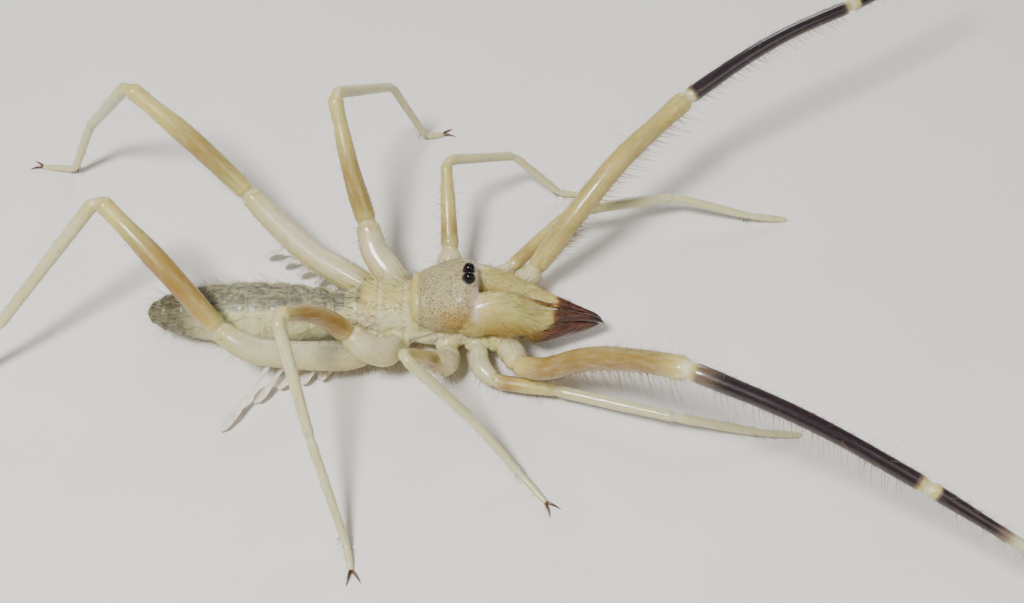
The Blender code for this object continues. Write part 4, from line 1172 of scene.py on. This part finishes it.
# %% [markdown]
# ## Claws
# The second to fourth legs end in two long thin claws that spread and hook down. Each is a tube round
# a bent line, thin enough to need only a few sides.

# %% Bend the claws
CLAW_LENGTH, CLAW_SET_BACK = 1.9, 0.3
CLAW_RADIUS, CLAW_TIP = 0.15, 0.012
CLAW_SPREAD, CLAW_LIFT, CLAW_HOOK = 24, 0.42, -0.085
CLAW_STEPS = 12


def claw_lines(path):
    """The two bent lines of a foot's claws."""
    point, tangent, _ = path.at(path.length - CLAW_SET_BACK)
    level = unit(np.array([tangent[0], tangent[1], 0]))
    for turn in (-CLAW_SPREAD, CLAW_SPREAD):
        heading = Matrix.Rotation(math.radians(turn), 3, "Z") @ Vector(level) + Vector((0, 0, CLAW_LIFT))
        place = Vector(point)
        line = [place.copy()]
        for _ in range(CLAW_STEPS):
            heading = (heading.normalized() + Vector((0, 0, CLAW_HOOK))).normalized()
            place = place + heading * CLAW_LENGTH / CLAW_STEPS
            line.append(Vector((place.x, place.y, max(place.z, FLOOR_Z + CLAW_RADIUS * 0.6))))
        yield np.array(line)


claws = []
for limb, path in paths.items():
    if limb[-1] not in "234":
        continue
    for line in claw_lines(path):
        radius = CLAW_RADIUS * (1 - np.linspace(0, 1, len(line)) ** 1.6) + CLAW_TIP
        claws.append(rod("claw", line, radius, radius, 10))
claws = join(claws, "claws")

paint = Paint("claw_horn")
tone = paint.grain(1500.0)
claws.data.materials.append(paint.finish(
    Base_Color=paint.blend(tone.ramp(0.35, 0.7), (0.05, 0.018, 0.010, 1), (0.15, 0.07, 0.03, 1)),
    Roughness=0.28 + 0.1 * tone, Coat_Weight=0.3))
bring_home(claws)
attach(claws, "root")
print("claw faces:", len(claws.data.polygons))

# %% [markdown]
# ## Malleoli
# Under the root of each fourth leg hang five racket-shaped organs that are found on no other animal.
# Each is a thin stalk that widens into a folded fan of clear, pinkish cuticle. We loft a flat oval
# along a bent line, and fold the fan by lifting its edges.

# %% Hang the malleoli
MALLEOLI = {
    "right": [(0.2, -2.2, -0.9, -1.2), (0.3, -2.6, -1.2, -1.6), (0.41, -3.2, -1.6, -2.0),
              (0.52, -3.8, -3.2, -2.6), (0.62, -5.4, -6.6, -3.2)],
    "left": [(0.2, -1.9, 0.5, -1.3), (0.3, -2.2, 0.6, -1.7), (0.41, -2.6, 0.8, -2.2),
             (0.52, -3.0, 1.0, -2.6), (0.62, -3.6, 1.2, -3.2)],
}
MALLEOLUS_WIDTHS = [(0, 0.3), (0.35, 0.2), (0.55, 0.26), (0.8, 0.62), (0.93, 0.6), (1, 0.2)]
MALLEOLUS_THICKS = [(0, 0.28), (0.4, 0.16), (0.7, 0.11), (1, 0.05)]
MALLEOLUS_ROWS, MALLEOLUS_SIDES = 40, 20
FAN_FOLD, FAN_START = 0.22, (0.45, 0.8)
ROOT_DEPTH = 0.55
KNEE_SHARE, KNEE_SINK, KNEE_BEND = 0.62, 0.5, 0.9
FLOOR_CLEAR, KNEE_CLEAR = FLOOR_Z + 0.2, FLOOR_Z + 0.2 + 0.1


def malleolus(limb, share, back, out, down):
    """One stalk and fan, from the leg's root to a tip given from its underside."""
    path = paths[limb]
    start, stop = path.joints["trochanter"], path.joints["femur"]
    point = path.at(start + (stop - start) * share)[0]
    radius = float(read_profile(LEG_RADII["4"]["trochanter"], share))
    root = point + (0, 0, -radius * ROOT_DEPTH)
    tip = point + (back, out, down - radius)
    tip[2] = max(tip[2], FLOOR_CLEAR)
    knee = root + (tip - root) * KNEE_SHARE + (0, 0, -KNEE_SINK)
    knee[2] = max(knee[2], KNEE_CLEAR)
    hang = Path([root, (*knee, KNEE_BEND), tip])
    shares = np.linspace(0, 1, MALLEOLUS_ROWS)
    frames = [hang.at(hang.length * s) for s in shares]
    points, tangents = np.array([f[0] for f in frames]), np.array([f[1] for f in frames])
    flat = unit(np.cross(tangents, (0, 0, 1)))
    wide, thick = read_profile(MALLEOLUS_WIDTHS, shares), read_profile(MALLEOLUS_THICKS, shares)
    fan = tube("malleolus", points, tangents, flat, wide, thick, MALLEOLUS_SIDES)
    for i, v in enumerate(fan.data.vertices):
        row, off = divmod(i, MALLEOLUS_SIDES)
        edge = math.cos(2 * math.pi * off / MALLEOLUS_SIDES)
        v.co.z += FAN_FOLD * wide[row] * edge ** 2 * rise(shares[row], *FAN_START)
    return fan


fans = [malleolus(f"leg_{side}_4", *numbers) for side, row in MALLEOLI.items() for numbers in row]
malleoli = join(fans, "malleoli")
paint = Paint("malleolus_skin")
mist = paint.grain(900.0)
malleoli.data.materials.append(paint.finish(
    Base_Color=paint.blend(mist.ramp(0.35, 0.65), (0.62, 0.53, 0.46, 1), (0.72, 0.66, 0.56, 1)),
    Roughness=0.22 + 0.12 * mist, Subsurface_Weight=0.8, Subsurface_Scale=0.0012,
    Subsurface_Radius=(1.0, 0.7, 0.5), Coat_Weight=0.4, Coat_Roughness=0.1))
bring_home(malleoli)
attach(malleoli, "root")
print("malleoli:", len(fans))

# %% [markdown]
# ## Bristles and hairs
# Camel spiders feel their way with hairs, so there are many kinds: a comb of stiff bristles under
# each palp, a golden brush on the jaws, and long fine hairs everywhere else. Particle hair would be
# lost when the model is exported, so each hair is a real mesh: three slim sides that bend and
# meet in a tip. One function grows any number of them at once from arrays of roots and directions.

# %% Grow hairs from arrays
HAIR_SHARES = np.array([0.0, 0.35, 0.7])
HAIR_SIDES = 3
HAIR_TAPER = 0.8
UNWRAP_PATCH = 0.003
UNWRAP_ROWS = len(LIMBS) + 1
TAIL_END_X, TRUNK_LENGTH = -40, 52
FLOOR_GAP = FLOOR_Z + 0.01


def unwrap_place(index):
    """Where points of the skin lie on its unwrap: one strip for each limb and one for the trunk."""
    limb, on = limb_of[index], on_limb[index] > 0.5
    lengths = np.array([paths[n].length for n in limb_names])
    along = np.where(on, s_of[index] / lengths[limb], (x[index] - TAIL_END_X) / TRUNK_LENGTH)
    turn = np.arctan2(normals[index, 2], normals[index, 1]) / (2 * np.pi) + 0.5
    row = np.where(on, limb, len(limb_names))
    return np.stack([np.clip(along, 0.01, 0.99), (row + 0.05 + 0.9 * turn) / UNWRAP_ROWS], 1)


def grow(name, index, roots, aims, lengths, radii, sag):
    """A mesh of hairs: each starts in the skin, runs along its aim and bends by its sag."""
    count = len(roots)
    aims = unit(aims)
    side = unit(np.cross(aims, unit(np.array([0.31, 0.22, 0.93]))))
    up = np.cross(aims, side)
    t = HAIR_SHARES[None, :, None]
    spine = roots[:, None] + aims[:, None] * lengths[:, None, None] * t
    spine = spine + sag[:, None] * lengths[:, None, None] * t ** 2
    turns = 2 * np.pi * np.arange(HAIR_SIDES) / HAIR_SIDES
    ring = side[:, None] * np.cos(turns)[None, :, None] + up[:, None] * np.sin(turns)[None, :, None]
    thin = radii[:, None, None, None] * (1 - HAIR_TAPER * HAIR_SHARES)[None, :, None, None]
    shaft = (spine[:, :, None] + ring[:, None] * thin).reshape(count, -1, 3)
    tips = roots + aims * lengths[:, None] + sag * lengths[:, None]
    verts = np.concatenate([shaft, tips[:, None]], 1)
    verts[:, :, 2] = np.maximum(verts[:, :, 2], FLOOR_GAP)
    per = verts.shape[1]
    faces = [(2, 1, 0)]
    for r in range(len(HAIR_SHARES) - 1):
        for k in range(HAIR_SIDES):
            a, b = r * HAIR_SIDES + k, r * HAIR_SIDES + (k + 1) % HAIR_SIDES
            faces += [(a, b, b + HAIR_SIDES), (a, b + HAIR_SIDES, a + HAIR_SIDES)]
    last = (len(HAIR_SHARES) - 1) * HAIR_SIDES
    faces += [(last + k, last + (k + 1) % HAIR_SIDES, per - 1) for k in range(HAIR_SIDES)]
    faces = np.array(faces)[None] + (np.arange(count) * per)[:, None, None]
    obj = new_mesh_object(name, verts.reshape(-1, 3), faces.reshape(-1, 3).tolist())
    corner = np.tile(np.array([(0, 0), (1, 0), (0, 1)]) - 1 / 3, (faces.shape[0] * faces.shape[1], 1))
    places = np.repeat(unwrap_place(index), faces.shape[1] * 3, axis=0)
    layer = obj.data.uv_layers.new(name="OFBake")
    layer.data.foreach_set("uv", (places + corner * UNWRAP_PATCH).astype(np.float32).ravel())
    return obj


# %% Scatter a coat of hairs
SEED = 7
HAIR_JITTER, SAG_JITTER = 0.25, 0.08
LEAST_LIFT = 0.12
HAIR_SAG = 0.15
ROOT_SINK = 0.05

draw = np.random.default_rng(SEED)
outward = np.where(on_limb[:, None] > 0.5, along_of, np.array([-1.0, 0, 0]))
outward = np.where((on_jaw > 0.5)[:, None], np.array([1.0, 0, -0.1]), outward)
under = rise(upward, 0.1, -0.75)


def coat(name, weight, number, length, radius, lift):
    """Hairs at random points of the skin, denser where the weight is high.

    lift is how far a hair stands off the skin: 0 lies flat and 1 stands straight up.
    """
    chance = weight / weight.sum()
    index = draw.choice(len(co), size=number, p=chance)
    jitter = draw.normal(0, HAIR_JITTER, (number, 3))
    aims = normals[index] * lift + outward[index] * (1 - lift) + jitter * (0.4 + lift)
    flat = aims - normals[index] * (aims * normals[index]).sum(1, keepdims=True)
    aims = flat + normals[index] * np.maximum((aims * normals[index]).sum(1), LEAST_LIFT)[:, None]
    lengths = draw.uniform(*length, number)
    radii = draw.uniform(0.8, 1.2, number) * radius
    droop = outward[index] * HAIR_SAG + draw.normal(0, SAG_JITTER, (number, 3))
    droop = droop + np.array([0, 0, -HAIR_SAG * 0.4])
    roots = co[index] - normals[index] * ROOT_SINK
    return grow(name, index, roots, aims, lengths, radii, droop)


print("hair triangles:", (len(HAIR_SHARES) - 1) * HAIR_SIDES * 2 + HAIR_SIDES + 1)

# %% [markdown]
# ## The combs
# The palps' stiff bristles stand in four rows, so they aren't scattered. We walk along each segment
# and aim each bristle down and a little forward. The two outer rows are longer than the inner two.

# %% Stand the combs under the palps
COMB_ROWS, INNER_ROW = (-34, -12, 14, 36), 20
INNER_LENGTH, INNER_RADIUS = 0.55, 0.7
COMB_FORWARD, COMB_WOBBLE = 0.45, 6
COMB_TURNS = {"palp_right": 0, "palp_left": -45}
COMB = {
    "femur": {"spacing": 0.62, "length": 2.7, "from": 0.12, "to": 0.95, "radius": 0.042},
    "tibia": {"spacing": 0.75, "length": 2.2, "from": 0.06, "to": 0.93, "radius": 0.036},
    "foot": {"spacing": 0.95, "length": 1.1, "from": 0.05, "to": 0.8, "radius": 0.024},
}


def comb_bristles():
    """Roots, aims and sizes of every bristle in the rows."""
    for limb in ("palp_right", "palp_left"):
        path = paths[limb]
        stops = dict(zip(path.names, path.stops[1:]))
        for joint, comb in COMB.items():
            start, span = path.joints[joint], stops[joint] - path.joints[joint]
            number = int(span * (comb["to"] - comb["from"]) / comb["spacing"])
            for i in range(number):
                for row in COMB_ROWS:
                    place = (i + draw.uniform(0, 0.8)) / number
                    share = comb["from"] + (comb["to"] - comb["from"]) * place
                    point, tangent, _ = path.at(start + span * share)
                    down = Vector(unit(np.array((0, 0, -1)) + tangent * tangent[2]))
                    turn = math.radians(row + COMB_TURNS[limb] + draw.normal(0, COMB_WOBBLE))
                    aim = Matrix.Rotation(turn, 3, Vector(tangent)) @ down
                    root = Vector(point) + aim * float(read_profile(PALP_RADII[joint], share)) * 0.92
                    inner = abs(row) < INNER_ROW
                    size = comb["length"] * draw.uniform(0.75, 1.1) * (INNER_LENGTH if inner else 1)
                    radius = comb["radius"] * (INNER_RADIUS if inner else 1)
                    yield root, aim + Vector(tangent) * COMB_FORWARD, size, radius


roots, aims, lengths, radii = (np.array(column) for column in zip(*comb_bristles()))
index = np.array([int(np.argmin(((co - r) ** 2).sum(1))) for r in roots])
comb_sag = along_of[index] * 0.16 + draw.normal(0, 0.03, (len(roots), 3))
combs = grow("palp_combs", index, roots, aims, lengths, radii, comb_sag)
print("comb bristles:", len(roots))

# %% [markdown]
# ## The scattered hairs
# Every coat is one call: where it grows, how many hairs, how long and thick they are, and how far
# they stand up. Short hairs lie along the limb, and the long sensing hairs stand out.

# %% Grow the coats
is_palp = np.array([name.startswith("palp") for name in limb_names])
palp_zone = on_limb * is_palp[limb_of]
leg_zone = on_limb - palp_zone
root_zone = leg_zone * rise(s_of - first_joint[limb_of], 16.0, 8.0)
jaw_low = on_jaw * rise(upward, 0.3, -0.5) * rise(x, -2.5, -0.5) * rise(x, 3.4, 2.2)
far_metatarsus = np.zeros(count)
for limb, path in paths.items():
    if limb.startswith("leg"):
        spot = bell(s_of - path.joints["tarsus"], -0.6, 0.7)
        far_metatarsus = np.maximum(far_metatarsus, np.where(limb_of == limb_names.index(limb), spot, 0))
far_metatarsus = far_metatarsus * leg_zone * rise(upward, 0.3, -0.3)

COATS = {
    "leg_fuzz": (leg_zone, 6200, (0.3, 0.75), 0.013, 0.35, "gold"),
    "palp_fuzz": (palp_zone * (1 - dark), 2600, (0.4, 1.0), 0.015, 0.4, "gold"),
    "palp_dark_fuzz": (palp_zone * dark, 1700, (0.4, 0.9), 0.014, 0.4, "dark"),
    "leg_long_hairs": (leg_zone, 420, (1.2, 2.4), 0.017, 0.8, "gold"),
    "palp_long_hairs": (palp_zone * (0.35 + under), 340, (1.6, 3.2), 0.018, 0.85, "gold"),
    "leg_root_hairs": (root_zone * (0.25 + under), 420, (0.9, 2.1), 0.022, 0.8, "dark"),
    "leg_spines": (far_metatarsus, 110, (0.6, 1.0), 0.04, 0.6, "dark"),
    "abdomen_fuzz": (on_abdomen, 1900, (0.5, 1.3), 0.015, 0.4, "pale"),
    "abdomen_hairs": (on_abdomen, 240, (1.6, 3.0), 0.02, 0.5, "dark"),
    "waist_hairs": (on_waist * rise(z, 1.5, 3.0), 360, (1.0, 2.8), 0.02, 0.5, "dark"),
    "shield_fuzz": (on_shield, 380, (0.2, 0.45), 0.011, 0.5, "gold"),
    "shield_hairs": (on_shield, 60, (1.0, 2.2), 0.018, 0.8, "dark"),
    "jaw_fuzz": (on_jaw * (1 - horn_and_crevice_shade), 1700, (0.35, 0.8), 0.016, 0.35, "gold"),
    "jaw_brush": (jaw_low, 1000, (0.9, 1.8), 0.03, 0.5, "gold"),
    "jaw_hairs": (on_jaw * rise(upward, 0.0, 0.6), 46, (1.6, 3.6), 0.022, 0.7, "dark"),
    "horn_bristles": (on_jaw * rise(horn_and_crevice_shade, 0.2, 0.6), 520, (0.3, 0.65), 0.018, 0.55, "dark"),
}
coats = {name: (coat(name, *numbers), tone) for name, (*numbers, tone) in COATS.items()}
coats["palp_combs"] = (combs, "gold")
print("coat triangles:", sum(len(obj.data.polygons) for obj, _ in coats.values()))

# %% [markdown]
# ## What the hairs are made of
# A hair this thin is horn with light going through it: golden on the limbs, whitish on the abdomen
# and nearly black where it is long and stiff. Noise over the body makes neighbours differ.

# %% Paint the hairs
HAIR_TONES = {
    "gold": ((0.22, 0.125, 0.025, 1), (0.45, 0.30, 0.08, 1), "cuticle_amber"),
    "pale": ((0.45, 0.41, 0.28, 1), (0.66, 0.62, 0.48, 1), "cuticle_pale"),
    "dark": ((0.03, 0.018, 0.014, 1), (0.12, 0.07, 0.04, 1), "palp_dark"),
}
hair_finishes = {}
for tone, (first, second, slot) in HAIR_TONES.items():
    paint = Paint("hair_" + tone)
    drift = paint.grain(800.0, 2.0)
    hair_finishes[tone] = paint.finish(
        Base_Color=paint.blend(drift.ramp(0.3, 0.7), first, second), Roughness=0.32 + 0.15 * drift,
        Coat_Weight=0.15)
for name, (obj, tone) in coats.items():
    obj.data.materials.append(hair_finishes[tone])
    bring_home(obj)
    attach(obj, "root")
